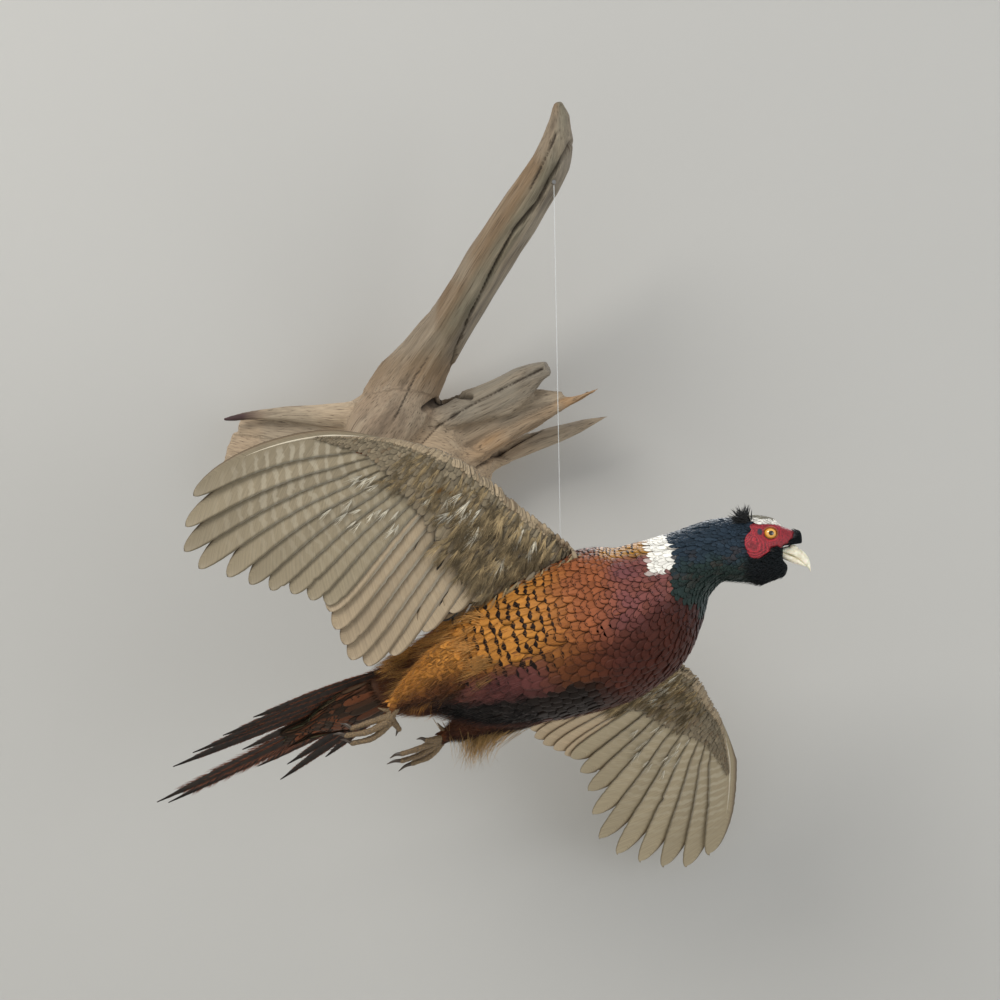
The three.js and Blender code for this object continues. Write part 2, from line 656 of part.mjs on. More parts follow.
for (const [name, piece] of Object.entries(makeDriftwood())) addMesh(name, piece, 'wood');
addMesh('hanger_plate', hanger, 'metal');
addMesh('support_rod', carve(rod, trunkClear), 'metal');
addMesh('line_tack', carve(tack, woodLimb('branch', GAP)), 'metal');
addMesh('line_eyelet', carve(eyelet, trunkClear), 'metal');
addMesh('hanging_line', line, 'nylon');

addMesh('rump', rump, 'breast');
addMesh('trunk', trunk, 'breast');
addMesh('neck', neck, 'neckGreen');
addMesh('head', head, 'neckGreen');
addMesh('bill_upper', billUpper, 'bill');
addMesh('bill_lower', billLower, 'bill');
for (const side of ['right', 'left']) {
  addMesh(`eye_${side}`, eyeBalls[side], 'iris');
  addMesh(`ear_tuft_${side}`, earTuft(side), 'neckGreen');
  for (const [name, piece] of Object.entries(makeWing(side))) {
    addMesh(`wing_${side}_${name}`, piece, 'underwing');
  }
  for (const [name, piece] of Object.entries(makeLeg(side))) {
    const look = { thigh: 'breast', foot: 'scale', claw: 'claw' }[name.split('_')[0]];
    addMesh(name, piece, look);
  }
}
addMesh('tail_coverts', tailCoverts, 'tailBrown');
addMesh('tail', tail, 'tailBrown');

export default model;
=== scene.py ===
"""A mounted cock pheasant in banking flight on its driftwood, with its hanging line and the stage."""

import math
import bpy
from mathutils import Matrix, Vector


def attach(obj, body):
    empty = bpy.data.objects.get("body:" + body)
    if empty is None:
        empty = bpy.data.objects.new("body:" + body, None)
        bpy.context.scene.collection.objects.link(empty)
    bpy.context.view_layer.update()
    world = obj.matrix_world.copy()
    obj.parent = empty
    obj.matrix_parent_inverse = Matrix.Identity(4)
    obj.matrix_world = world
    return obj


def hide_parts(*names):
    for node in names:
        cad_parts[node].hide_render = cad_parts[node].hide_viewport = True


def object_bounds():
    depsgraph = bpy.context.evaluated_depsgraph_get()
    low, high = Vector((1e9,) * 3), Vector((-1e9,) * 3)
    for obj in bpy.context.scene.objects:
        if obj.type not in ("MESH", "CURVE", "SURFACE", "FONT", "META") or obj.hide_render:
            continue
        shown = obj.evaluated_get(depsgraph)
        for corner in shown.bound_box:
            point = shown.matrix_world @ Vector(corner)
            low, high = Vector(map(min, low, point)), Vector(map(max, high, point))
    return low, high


bl_info = {
    "name": "Mounted pheasant",
    "version": (1, 0, 0),
    "blender": (4, 5, 0),
    "location": "3D View > Sidebar > Pheasant",
    "description": "Builds a mounted cock pheasant on driftwood round its packed frame",
    "category": "Object",
}

from functools import partial

import bmesh
import bpy
import numpy as np
from mathutils import Matrix, Vector
from mathutils.bvhtree import BVHTree

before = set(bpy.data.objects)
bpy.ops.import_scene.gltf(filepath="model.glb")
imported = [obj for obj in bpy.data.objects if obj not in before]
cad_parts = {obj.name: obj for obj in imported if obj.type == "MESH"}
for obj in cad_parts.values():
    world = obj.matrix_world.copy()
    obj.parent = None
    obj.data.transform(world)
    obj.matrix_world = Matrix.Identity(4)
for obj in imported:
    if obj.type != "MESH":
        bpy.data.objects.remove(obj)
CAD_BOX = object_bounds()
BODY = "root"
MM = 0.001  # the places below are in millimetres, and Blender's are in metres

# ---- The bird's form -------------------------------------------------------------------------------------

HEADING, CLIMB, BANK = 6, 17, 44  # degrees: out of the wall's plane, up to the head, back rolled to the wall
# The spine from tail root to bill base: centre, then half width, height above and depth below it.
SPINE = [
    ((-37, -262, -243), (23, 17, 17)),
    ((-2, -268, -232), (37, 31, 28)),
    ((42, -277, -219), (56, 50, 53)),
    ((95, -288, -201), (69, 62, 68)),
    ((146, -299, -183), (71, 66, 72)),
    ((181, -306, -168), (64, 57, 63)),
    ((204, -311, -152), (50, 50, 42)),
    ((223, -315, -137), (36, 41, 24)),
    ((244, -318, -122), (26, 31, 24)),
    ((264, -319, -117), (22, 28, 29)),
    ((281, -320, -114), (18.5, 26.5, 33.5)),
    ((299, -320, -113), (14, 21.5, 27.5)),
    ((313, -320, -109), (9, 9.5, 9)),
    ((322, -320, -109.5), (5, 4.5, 4.5)),
]
TWIST = (4.5, 9)  # the stations between which the neck twists until the head is level
HEAD_UP = (0.05, 0.08, 1)
COAT_DEPTH = ((0, 4.0), (6, 5.0), (7, 3.6), (9, 2.6), (10, 1.9), (12, 1.3))  # station, mm from skin to tips

HEAD_Y = -320  # the plane through the head's middle
EYE_RADIUS = 6.0
EYE_TALL = 0.9  # an eye's height as a share of its width
EYES = {"right": (289.4, -330.6, -103.4), "left": (291, -309.4, -103.4)}
# The bill from the gape to its tip: place along it, top and bottom height, half width.
BILL_UPPER = [
    (298.5, -116.6, -119.2, 6.2), (304, -115.0, -120.6, 7.0), (310, -114.0, -123.0, 6.6),
    (315, -115.8, -125.8, 5.6), (319, -118.4, -129.0, 4.5), (322.6, -122.4, -132.2, 3.3),
    (325, -127.5, -135.2, 2.2), (325.7, -132.5, -136.4, 1.1),
]
BILL_LOWER = [
    (299, -119.0, -124.0, 5.6), (304, -120.4, -126.2, 5.8), (310, -122.8, -128.8, 5.0),
    (315, -125.4, -130.2, 3.9), (319, -128.6, -131.4, 2.6), (321.4, -130.6, -132.0, 1.4),
]
# The bare red face, seen from its side: x and z, clockwise from the brow's back end.
WATTLE = (
    (271.4, -93.8), (282.3, -94.1), (296.0, -94.6), (305.7, -95.5), (309.8, -97.8), (310.6, -102.8),
    (308.9, -107.9), (305.7, -110.8), (303.5, -114.4), (301.5, -116.4), (298.3, -116.8), (295.4, -114.8),
    (289.7, -115.9), (289.1, -119.4), (284.6, -122.2), (280.0, -125.4), (276.5, -125.9), (272.5, -125.4),
    (269.1, -122.2), (267.4, -117.6), (265.9, -113.1), (265.7, -108.5), (268.0, -103.9), (271.4, -100.5),
    (270.2, -96.5),
)
WATTLE_FOLDS = (275.4, -111.9)  # the middle of its concentric folds
EAR_TUFTS = {  # where each tuft grows
    "right": (268.5, -331, -93),
    "left": (270.5, -309, -92),
}

# A wing lies in a plane of its own: x across it, z up it, y off it, with the wrist at its origin.
# Arm and hand coverts run from the leading edge to the trailing edge, with the arm's thickness between.
WINGS = {
    "right": {
        "wrist": (18, -335, -41),
        "tilt": 5.5,
        "turn": 0,
        "leading": -1,
        "hand": (-41, 0, 11),
        "elbow": (54, 6, -54),
        "primary_angles": (192.8, 229),
        "primary_spread": 0.8,
        "primary_lengths": (181, 199, 212, 211, 197, 188, 180, 171, 166, 162),
        "primary_bow": (20, 8),
        "primary_widths": (23, 31),
        "under_reach": (0.72, 0.46, 0.3, 0.2),
        # Painted shade: the right wing's flight feathers are painted darker for how that wing is lit.
        "painted_light": 0.76,
        "secondary_angles": (231, 241),
        "secondary_lengths": (165, 173, 178, 184, 179, 158, 124, 96, 76),
        "arm": [
            ((116, 22, -88), (80, 24, -140), 24),
            ((92, 12, -66), (42, 12, -134), 22),
            ((68, 5, -47), (16, 4, -122), 18),
            ((38, 1, -22), (-12, 0, -96), 15),
            ((2, 0, 4), (-44, 0, -66), 11),
        ],
        "hand_coverts": [
            ((1, 0, 5), (-45, 0, -65), 11),
            ((-24, 0, 13), (-76, 0, -46), 9),
            ((-48, 0, 18), (-100, 0, -27), 6.5),
            ((-82, 0, 20), (-118, 0, -8), 4),
            ((-112, 0, 20), (-124, 0, 8), 2.4),
        ],
    },
    "left": {
        "wrist": (240, -170, -241),
        "tilt": 34,
        "turn": 14,
        "leading": 1,
        "hand": (34, 0, -53),
        "elbow": (-50, -6, 22),
        "primary_angles": (-82, -141),
        "primary_spread": 1.03,
        "primary_lengths": (165, 185, 190, 191, 191, 183, 164, 147, 139, 137),
        "primary_bow": (9, 6),
        "primary_widths": (29, 33),
        "under_reach": (0.8, 0.6, 0.42, 0.3),
        # Painted light: the left wing's flight feathers are painted lighter for how that wing is lit.
        "painted_light": 1.12,
        "secondary_angles": (-144, -166),
        "secondary_lengths": (140, 142, 144, 144, 140, 132, 120, 108, 96),
        "arm": [
            ((-84, -26, 84), (-118, -20, 20), 24),
            ((-62, -18, 62), (-112, -10, 0), 20),
            ((-40, -10, 40), (-98, -3, -22), 16),
            ((-18, -3, 20), (-78, 0, -40), 13),
            ((2, 0, 4), (-54, 0, -56), 11),
        ],
        "hand_coverts": [
            ((3, 0, 3), (-53, 0, -57), 11),
            ((20, 0, -23), (-30, 0, -80), 9),
            ((37, 0, -50), (-2, 0, -98), 6.5),
            ((49, 0, -84), (24, 0, -114), 4),
            ((57, 0, -112), (46, 0, -124), 2.4),
        ],
    },
}

# Tail feathers: start in mm to the bird's left, splay in degrees, length and width.
TAIL = (
    (-27, 4, 122, 18), (-24, 6.5, 156, 18), (-21, 7.8, 190, 18), (-17, 8.8, 214, 19), (-9, 11.5, 150, 18),
    (0, 13.2, 251, 21), (3.5, 14.2, 243, 19), (8, 16.5, 150, 17), (12, 22, 128, 16), (14, 26, 147, 16),
    (16, 31, 98, 15),
)
TAIL_STEP = 0.45  # each tail feather lies this much further to the back than the last
TAIL_COVERT_SPLAY = 12
TAIL_COVERTS = ((0, (24, 17, 16)), (26, (26, 14, 15)), (54, (20, 8, 11)), (84, (9, 2, 4)))

THIGHS = {
    "right": {
        "line": ((50, -300, -205), (16, -308, -222), (-8, -314, -236), (-27, -317, -248)),
        "sizes": ((30, 26, 28), (27, 22, 24), (17, 14, 15), (7, 6, 6)),
        "tuft": ((6, -312, -232), (-8, -314, -248), (-16, -314, -257)),
    },
    "left": {
        "line": ((92, -262, -246), (62, -262, -258), (34, -262, -272), (16, -262, -281)),
        "sizes": ((28, 24, 26), (25, 20, 22), (15, 12, 14), (6, 5, 6)),
        "tuft": ((50, -262, -272), (43, -262, -292), (36, -262, -312)),
    },
}
# A foot: the shank's line, the spur, and each toe's line with its claw's tip as the last point.
FEET = {
    "right": {
        "shank": ((-20, -316, -241), (-29, -318, -252), (-35, -318, -262)),
        "spur": ((-30, -318, -254), (-37, -319, -255), (-44, -320, -253)),
        "toes": {
            "inner": ((-34, -319, -260), (-50, -318, -265), (-67, -315, -271), (-77, -312, -267)),
            "middle": ((-35, -319, -264), (-52, -319, -273), (-72, -316, -277), (-83, -315, -276)),
            "outer": ((-34, -317, -266), (-49, -315, -279), (-67, -313, -284), (-77, -311, -281)),
            "hind": ((-34, -315, -262), (-30, -309, -268), (-27, -304, -273), (-30, -300, -279)),
        },
    },
    "left": {
        "shank": ((26, -262, -275), (14, -262, -281), (7, -262, -287)),
        "spur": ((14, -263, -281), (9, -264, -277), (5, -264, -272)),
        "toes": {
            "inner": ((5, -264, -287), (-11, -265, -294), (-27, -264, -299), (-37, -262, -303)),
            "middle": ((5, -261, -290), (-10, -259, -300), (-27, -257, -306), (-40, -256, -309)),
            "outer": ((8, -259, -290), (-2, -255, -302), (-18, -252, -309), (-30, -250, -316)),
            "hind": ((7, -266, -285), (0, -270, -286), (-5, -272, -286), (-13, -273, -285)),
        },
    },
}
SHANK_RADII = (5, 4.2, 4.6)
TOE_RADII = (3.4, 2.7, 2.2)
CLAW_RADII = (1.9, 1.3, 0.35)
SPUR_RADII = (2.6, 1.8, 0.5)

# The driftwood's limbs: each one's line with its half width, height above and depth below.
WOOD = {
    "root": (
        ((-96, -34, -46), (-55, -32, -36), (-12, -31, -27), (26, -35, -36), (54, -36, -42)),
        ((28, 30, 36), (47, 54, 64), (52, 54, 68), (44, 40, 46), (22, 20, 20)),
    ),
    "branch": (
        ((-50, -58, 0), (-38, -63, 25), (-19, -77, 53), (10, -102, 91), (41, -137, 135), (62, -164, 166),
         (96, -205, 213), (109, -222, 237), (114, -236, 264), (112, -240, 281)),
        ((34, 34, 34), (30, 37, 37), (26, 30, 34), (24, 23, 27), (23, 22, 23), (22, 22, 22),
         (21, 21, 20), (19, 18, 18), (13, 11, 11), (5, 4, 4)),
    ),
    "slab": (
        ((-211, -38, -29), (-190, -40, -35), (-160, -40, -43), (-120, -40, -52), (-84, -40, -54)),
        ((8, 23, 20), (12, 32, 40), (16, 42, 62), (19, 52, 68), (22, 58, 60)),
    ),
    "horn": (
        ((-211, -58, 4), (-185, -60, 8), (-151, -61, 10), (-110, -58, 9), (-62, -54, 6)),
        ((1.5, 1.5, 1.5), (5, 5, 5), (9, 8, 9), (14, 11, 14), (22, 24, 22)),
    ),
    "prong_upper": (
        ((-2, -62, 2), (31, -74, 18), (60, -86, 31), (88, -100, 46), (106, -110, 53)),
        ((16, 18, 20), (13, 15, 24), (11, 13, 25), (9, 11, 19), (5, 7, 10)),
    ),
    "prong_middle": (
        ((4, -52, -34), (34, -57, -24), (70, -70, -4), (104, -86, 11), (132, -98, 21), (155, -107, 32)),
        ((18, 20, 22), (16, 18, 20), (12, 14, 15), (9, 12, 10), (5, 6, 5), (1.2, 1.2, 1.2)),
    ),
    "prong_lower": (
        ((18, -34, -52), (50, -40, -36), (90, -48, -18), (124, -55, -7), (148, -62, 1), (166, -68, 7)),
        ((14, 14, 16), (13, 12, 14), (11, 10, 12), (9, 7, 9), (6, 5, 6), (1.5, 2, 2)),
    ),
}
WOOD_WEBS = {  # thin sheets of wood between the limbs, over the root's flare
    "web_left": (
        ((-196, -42, -2), (-150, -46, -8), (-100, -48, -12), (-50, -50, -10)),
        ((5, 13, 14), (9, 18, 20), (13, 24, 26), (18, 30, 30)),
    ),
    "flare": (
        ((-122, -42, 2), (-80, -50, 6), (-44, -58, 24), (-12, -76, 58)),
        ((7, 7, 12), (18, 19, 28), (26, 24, 34), (24, 22, 26)),
    ),
    "heel": (
        ((-16, -78, 46), (-36, -69, 18), (-54, -60, -8), (-64, -50, -36), (-70, -42, -60)),
        ((20, 16, 18), (31, 33, 35), (38, 38, 38), (33, 28, 30), (20, 15, 18)),
    ),
    "web_right": (
        ((10, -55, -20), (50, -68, 2), (90, -84, 18), (120, -93, 27)),
        ((14, 24, 26), (11, 20, 24), (8, 15, 16), (3, 5, 6)),
    ),
}
WOOD_TONES = {
    "root": "#a28e74", "branch": "#79644b", "slab": "#a18d74", "horn": "#ad9a80", "prong_upper": "#7c7466",
    "prong_middle": "#9c7c58", "prong_lower": "#a08f78", "web_left": "#b09c82", "web_right": "#93836d",
    "flare": "#a08c72", "heel": "#94806a",
}
# Cracks and splits on the wood's face: x and z along each, its width and its depth.
WOOD_CRACKS = (
    (((125, 246), (110, 220), (95, 194), (72, 170.6)), 2.8, 4.5),
    (((72, 170.6), (52.6, 137.5), (33, 100), (20, 71), (9, 36)), 1.9, 3.6),
    (((110, 252), (98.5, 227), (87, 206)), 1.8, 2.2),
    (((-12, 13), (-2, 20), (15.5, 28.6), (30, 25)), 4.5, 6.5),
    (((-17, -21), (-1, -4), (32, 17), (72, 36.5), (100, 50)), 1.8, 2.6),
    (((39, -44), (73, -20), (106, -1), (147, 24.7)), 2.6, 4.0),
    (((-10, 60), (-22, 44), (-34, 18), (-42, 2)), 1.5, 1.3),
)

LINE_TOP = (108.5, -228.5, 208)
LINE_BOTTOM = (114.5, -240, -139)
LINE_DIAMETER = 0.8


# ---- Colours and sizes that a user may change -------------------------------------------------------------


def linear(code):
    """The linear colour of an sRGB hex code."""
    channels = [int(code[i : i + 2], 16) / 255 for i in (1, 3, 5)]
    return tuple(c / 12.92 if c <= 0.04045 else ((c + 0.055) / 1.055) ** 2.4 for c in channels)


def tint(name, code):
    return bpy.props.FloatVectorProperty(
        name=name, description=f"Colour of the {name.lower()}", subtype="COLOR", size=3,
        min=0, max=1, default=linear(code),
    )


class PheasantPlumage(bpy.types.PropertyGroup):
    """Colours of the bird's coat."""

    gold: tint("Flank gold", "#b27833")
    copper: tint("Breast copper", "#8c4f31")
    plum: tint("Breast plum", "#704547")
    # Its dark is partly the bird's own dark red-brown and partly painted shade.
    mahogany_and_shade: tint("Lower breast", "#3c1a12")
    belly: tint("Belly centre", "#080706")
    vent: tint("Vent and thighs", "#5a3419")
    mantle: tint("Mantle gold", "#a87936")
    scapular: tint("Scapulars", "#6d3f28")
    back: tint("Lower back", "#5f5f47")
    rump_side: tint("Rump sides", "#7c4322")
    ink: tint("Feather edges", "#0d0a0a")
    collar: tint("Collar", "#f4f1e6")
    neck_blue: tint("Neck above", "#26313c")
    neck_green: tint("Neck below", "#222e29")
    crown: tint("Crown", "#7d7868")
    throat: tint("Throat", "#08080a")
    under_grey: tint("Underwing grey", "#998c72")
    under_buff: tint("Underwing buff", "#b09d80")
    wing_edge: tint("Leading edge", "#e6dfca")
    wing_upper: tint("Wing from above", "#6e5a42")
    wing_sandy: tint("Wing coverts from above", "#8f8266")
    tail_dark: tint("Tail centre", "#231a13")
    tail_rust: tint("Tail fringes", "#7a4327")


class PheasantParts(bpy.types.PropertyGroup):
    """Colours of what is not feathered."""

    skin: tint("Skin", "#4a3626")
    wattle: tint("Face wattle", "#bd2a38")
    iris: tint("Iris", "#dd9b22")
    bill: tint("Bill", "#efe9d2")
    scutes: tint("Leg scutes", "#7a6445")
    claws: tint("Claws", "#2a211a")
    wood_light: tint("Pale wood", "#a3957f")
    wood_mid: tint("Wood", "#7b6a54")
    wood_dark: tint("Dark wood", "#4f4131")
    wood_grey: tint("Weathered wood", "#8c8372")


class PheasantStage(bpy.types.PropertyGroup):
    """The room round the mount."""

    wall: tint("Wall", "#b9b8b3")
    floor: tint("Floor", "#c9c7c1")
    key_power: bpy.props.FloatProperty(
        name="Key light", description="Power of the large soft light", default=62, min=0, unit="POWER"
    )
    fill_power: bpy.props.FloatProperty(
        name="Fill light", description="Power of the low fill light", default=16, min=0, unit="POWER"
    )
    ambient: bpy.props.FloatProperty(
        name="Ambient", description="Brightness of the even room light", default=0.62, min=0
    )


# ---- Curves and sections, in numpy ------------------------------------------------------------------------


def unit(v):
    return v / np.maximum(np.linalg.norm(v, axis=-1, keepdims=True), 1e-9)


def smoothstep(x, low, high):
    x = np.clip((np.asarray(x, float) - low) / (high - low), 0, 1)
    return x * x * (3 - 2 * x)


def spline(points, t):
    """A smooth run through points, at t from 0 to 1."""
    p = np.asarray(points, float)
    p = np.vstack([2 * p[0] - p[1], p, 2 * p[-1] - p[-2]])
    t = np.clip(np.asarray(t, float), 0, 1) * (len(p) - 3)
    i = np.minimum(t.astype(int), len(p) - 4)
    w = (t - i)[..., None]
    a, b, c, d = p[i], p[i + 1], p[i + 2], p[i + 3]
    ab, bc, cd = (
        np.maximum(np.linalg.norm(y - x, axis=-1, keepdims=True), 1e-6) ** 0.5
        for x, y in ((a, b), (b, c), (c, d))
    )
    start = ((b - a) / ab - (c - a) / (ab + bc) + (c - b) / bc) * bc
    end = ((c - b) / bc - (d - b) / (bc + cd) + (d - c) / cd) * bc
    return b + w * start + w**2 * (3 * (c - b) - 2 * start - end) + w**3 * (2 * (b - c) + start + end)


def turned(v):
    turn = Matrix.Rotation(math.radians(-HEADING), 3, "Z")
    turn = turn @ Matrix.Rotation(
        math.radians(-CLIMB), 3, "Y"
    ) @ Matrix.Rotation(math.radians(-BANK), 3, "X")
    return np.array(turn @ Vector(v))


FORWARD, LEFT, DORSAL = turned((1, 0, 0)), turned((0, 1, 0)), turned((0, 0, 1))
LAST = len(SPINE) - 1


def body_up(t):
    share = smoothstep(np.asarray(t) * LAST, *TWIST)[..., None]
    return DORSAL * (1 - share) + np.array(HEAD_UP) * share


class Tube:
    """A smooth run of oval sections. t runs along it from 0 to 1, phi round it from the top to the left."""

    def __init__(self, centres, sizes, up):
        self.centres = np.asarray(centres, float)
        self.sizes = np.asarray(sizes, float)
        self.up = up if callable(up) else (lambda t: np.broadcast_to(up, np.shape(t) + (3,)))
        t = np.linspace(0, 1, 400)
        steps = np.linalg.norm(np.diff(spline(self.centres, t), axis=0), axis=-1)
        self.lengths = np.concatenate([[0], np.cumsum(steps)])
        self.stations = t
        self.length = self.lengths[-1]

    def t_at(self, mm):
        return np.interp(mm, self.lengths, self.stations)

    def mm_at(self, t):
        return np.interp(t, self.stations, self.lengths)

    def section(self, t):
        t = np.asarray(t, float)
        forward = unit(spline(self.centres, t + 0.004) - spline(self.centres, t - 0.004))
        left = unit(np.cross(self.up(t), forward))
        return spline(self.centres, t), forward, left, np.cross(forward, left), spline(self.sizes, t)

    def at(self, t, phi, depth=0.0):
        centre, _, left, up, size = self.section(t)
        phi, depth = np.broadcast_arrays(np.asarray(phi, float), np.asarray(depth, float))
        cos, sin = np.cos(phi)[..., None], np.sin(phi)[..., None]
        tall = np.where(cos > 0, size[..., 1:2], size[..., 2:3])
        inward = depth[..., None]
        return centre + up * cos * (tall - inward) + left * sin * (size[..., :1] - inward)

    def normal(self, t, phi):
        dt = np.clip(t + 0.01, 0, 1), np.clip(t - 0.01, 0, 1)
        along = self.at(dt[0], phi) - self.at(dt[1], phi)
        around = self.at(t, phi + 0.04) - self.at(t, phi - 0.04)
        return unit(np.cross(along, around))

    def girth(self, t):
        size = self.section(t)[4]
        tall = (size[..., 1] + size[..., 2]) / 2
        return 2 * math.pi * np.sqrt((size[..., 0] ** 2 + tall**2) / 2)


BODY_TUBE = Tube([s[0] for s in SPINE], [s[1] for s in SPINE], body_up)


def coat_depth(t):
    stations, depths = zip(*COAT_DEPTH)
    return np.interp(np.asarray(t) * LAST, stations, depths)


def noise(points, seed=0):
    """Smooth noise from -1 to 1 at each row of points."""
    points = np.asarray(points, float)
    cell = np.floor(points).astype(np.int64)
    share = points - cell
    share = share * share * (3 - 2 * share)
    total = np.zeros(points.shape[:-1])
    for corner in range(8):
        step = np.array([corner & 1, corner >> 1 & 1, corner >> 2 & 1])
        key = (cell + step) * np.array([73856093, 19349663, 83492791])
        mixed = (key[..., 0] ^ key[..., 1] ^ key[..., 2]) + seed * 2654435761
        mixed = (mixed ^ (mixed >> 13)) * 1274126177 & 0x7FFFFFFF
        mixed = (mixed ^ (mixed >> 15)) & 0xFFFF
        weight = np.prod(np.where(step == 1, share, 1 - share), axis=-1)
        total += weight * (mixed / 32767.5 - 1)
    return total


# ---- Meshes, nodes and materials --------------------------------------------------------------------------


MAIN_OUTPUT = {"ShaderNodeMix": 2}  # the colour; any other node's main output is its first


def wire(node, inputs):
    """Gives each of the node's inputs a number or colour, a socket, or another node's main output."""
    for key, value in inputs.items():
        if isinstance(value, bpy.types.Node):
            value = value.outputs[MAIN_OUTPUT.get(value.bl_idname, 0)]
        if isinstance(value, bpy.types.NodeSocket):
            node.id_data.links.new(value, node.inputs[key])
        else:
            node.inputs[key].default_value = value


def add_node(tree, kind, inputs=(), **settings):
    """Adds a node with its settings and links. inputs is a dict, or the first sockets' values in order."""
    node = tree.nodes.new("ShaderNode" + kind)
    for key, value in settings.items():
        setattr(node, key, value)
    wire(node, dict(enumerate(inputs)) if isinstance(inputs, tuple) else inputs)
    return node


def rgba(colour):
    return (*tuple(colour)[:3], 1.0)


def new_material(name, **sockets):
    """A material, its add_node and its Principled shader, whose constants are set on its own sockets."""
    material = bpy.data.materials.new(name)
    material.use_nodes = True
    material.node_tree.nodes.clear()
    node = partial(add_node, material.node_tree)
    shader = node("BsdfPrincipled", sockets)
    node("OutputMaterial", {"Surface": shader})
    return material, node, shader


def mesh_piece(name, vertices, faces, materials, vectors=None, uvs=None, face_material=None):
    """A joined mesh from arrays in millimetres. faces is a list of index arrays, one for each face size."""
    mesh = bpy.data.meshes.new(name)
    faces = [np.asarray(f, np.int32) for f in faces if len(f)]
    corners = np.concatenate([f.ravel() for f in faces])
    sizes = np.concatenate([np.full(len(f), f.shape[1]) for f in faces])
    mesh.vertices.add(len(vertices))
    places = np.clip(np.asarray(vertices) * MM, CAD_BOX[0], CAD_BOX[1])
    mesh.vertices.foreach_set("co", places.astype(np.float32).ravel())
    mesh.loops.add(len(corners))
    mesh.loops.foreach_set("vertex_index", corners)
    mesh.polygons.add(len(sizes))
    mesh.polygons.foreach_set("loop_start", (np.cumsum(sizes) - sizes).astype(np.int32))
    for key, values in (vectors or {}).items():
        kind = "FLOAT_COLOR" if values.shape[1] == 4 else "FLOAT_VECTOR"
        attribute = mesh.attributes.new(key, kind, "POINT")
        attribute.data.foreach_set(
            "color" if kind == "FLOAT_COLOR" else "vector", values.astype(np.float32).ravel()
        )
    for key, values in (uvs or {}).items():
        layer = mesh.uv_layers.new(name=key)
        layer.data.foreach_set("uv", values[corners].astype(np.float32).ravel())
    mesh.update(calc_edges=True)
    mesh.polygons.foreach_set("use_smooth", np.ones(len(sizes), bool))
    if face_material is not None:
        mesh.polygons.foreach_set("material_index", face_material.astype(np.int32))
    mesh.validate()
    piece = bpy.data.objects.new(name, mesh)
    for material in materials:
        mesh.materials.append(material)
    bpy.context.scene.collection.objects.link(piece)
    return piece


def finish_piece(piece, slot, *nodes):
    """The piece rides on the mount and stands for the nodes, which are hidden; slot is not used."""
    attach(piece, BODY)
    if nodes:
        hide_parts(*nodes)
    return piece


def bm_piece(name, bm, materials):
    """A piece from a bmesh in millimetres, with its doubles merged and its faces turned outwards."""
    bmesh.ops.remove_doubles(bm, verts=bm.verts, dist=0.01)
    bmesh.ops.recalc_face_normals(bm, faces=bm.faces)
    bmesh.ops.scale(bm, vec=(MM,) * 3, verts=bm.verts)
    mesh = bpy.data.meshes.new(name)
    for face in bm.faces:
        face.smooth = True
    bm.to_mesh(mesh)
    bm.free()
    for material in materials:
        mesh.materials.append(material)
    piece = bpy.data.objects.new(name, mesh)
    bpy.context.scene.collection.objects.link(piece)
    return piece


def add_tube(bm, rings):
    """Lofts a closed tube through rings of points: a circle, extruded from ring to ring and capped."""
    ordered = bmesh.ops.create_circle(bm, cap_ends=True, radius=1, segments=len(rings[0]))["verts"]
    bm.faces.ensure_lookup_table()
    edges = list(bm.faces[-1].edges)
    for vertex, place in zip(ordered, rings[0]):
        vertex.co = place
    for ring in rings[1:]:
        made = bmesh.ops.extrude_edge_only(bm, edges=edges)["geom"]
        edges = [e for e in made if isinstance(e, bmesh.types.BMEdge)]
        new_verts = [v for v in made if isinstance(v, bmesh.types.BMVert)]
        above = {}
        for vertex in new_verts:
            for edge in vertex.link_edges:
                other = edge.other_vert(vertex)
                if other not in new_verts:
                    above[other] = vertex
        ordered = [above[v] for v in ordered]
        for vertex, place in zip(ordered, ring):
            vertex.co = place
    bmesh.ops.edgenet_fill(bm, edges=edges)


def tube_rings(tube, count, sides, end=1.0, depth=0.0, taper_ends=0.0):
    """Rings of points along a tube, for add_tube."""
    phi = np.linspace(0, 2 * math.pi, sides, endpoint=False)
    rings = []
    for t in np.linspace(0, end, count):
        inward = depth(t) if callable(depth) else depth
        rings.append(tube.at(np.full(sides, t), phi, np.full(sides, inward)))
    if taper_ends:
        forward = tube.section(np.array([0.0, end]))[1]
        for edge, ring, way in ((0, rings[0], -1), (1, rings[-1], 1)):
            middle = ring.mean(axis=0)
            caps = []
            for share in (0.35, 0.7, 0.93):
                shrink = math.sqrt(1 - share**2)
                caps.append(middle + (ring - middle) * shrink + forward[edge] * way * taper_ends * share)
            if edge == 0:
                rings = caps[::-1] + rings
            else:
                rings = rings + caps
    return rings


# ---- Feathers ---------------------------------------------------------------------------------------------


def vane_plan(rows, columns):
    """A closed vane's vertices as (v along, u across, sheet), and its quads. The sheets share their rim."""
    along = 1 - (1 - np.linspace(0, 1, rows)) ** 1.25
    v, u = np.meshgrid(along, np.linspace(-1, 1, columns), indexing="ij")
    top = np.arange(rows * columns).reshape(rows, columns)
    under = top.copy()
    inner = (rows - 2) * (columns - 2)
    under[1:-1, 1:-1] = rows * columns + np.arange(inner).reshape(rows - 2, columns - 2)

    def quads(grid):
        return np.stack([grid[:-1, :-1], grid[:-1, 1:], grid[1:, 1:], grid[1:, :-1]], axis=-1).reshape(-1, 4)

    faces = np.vstack([quads(top), quads(under)[:, ::-1]])
    sheet = np.concatenate([np.ones(rows * columns), -np.ones(inner)])
    sheet[: rows * columns][(np.abs(u.ravel()) > 0.999) | (v.ravel() < 1e-6) | (v.ravel() > 0.999)] = 0
    v = np.concatenate([v.ravel(), v[1:-1, 1:-1].ravel()])
    u = np.concatenate([u.ravel(), u[1:-1, 1:-1].ravel()])
    return v, u, sheet, faces, along


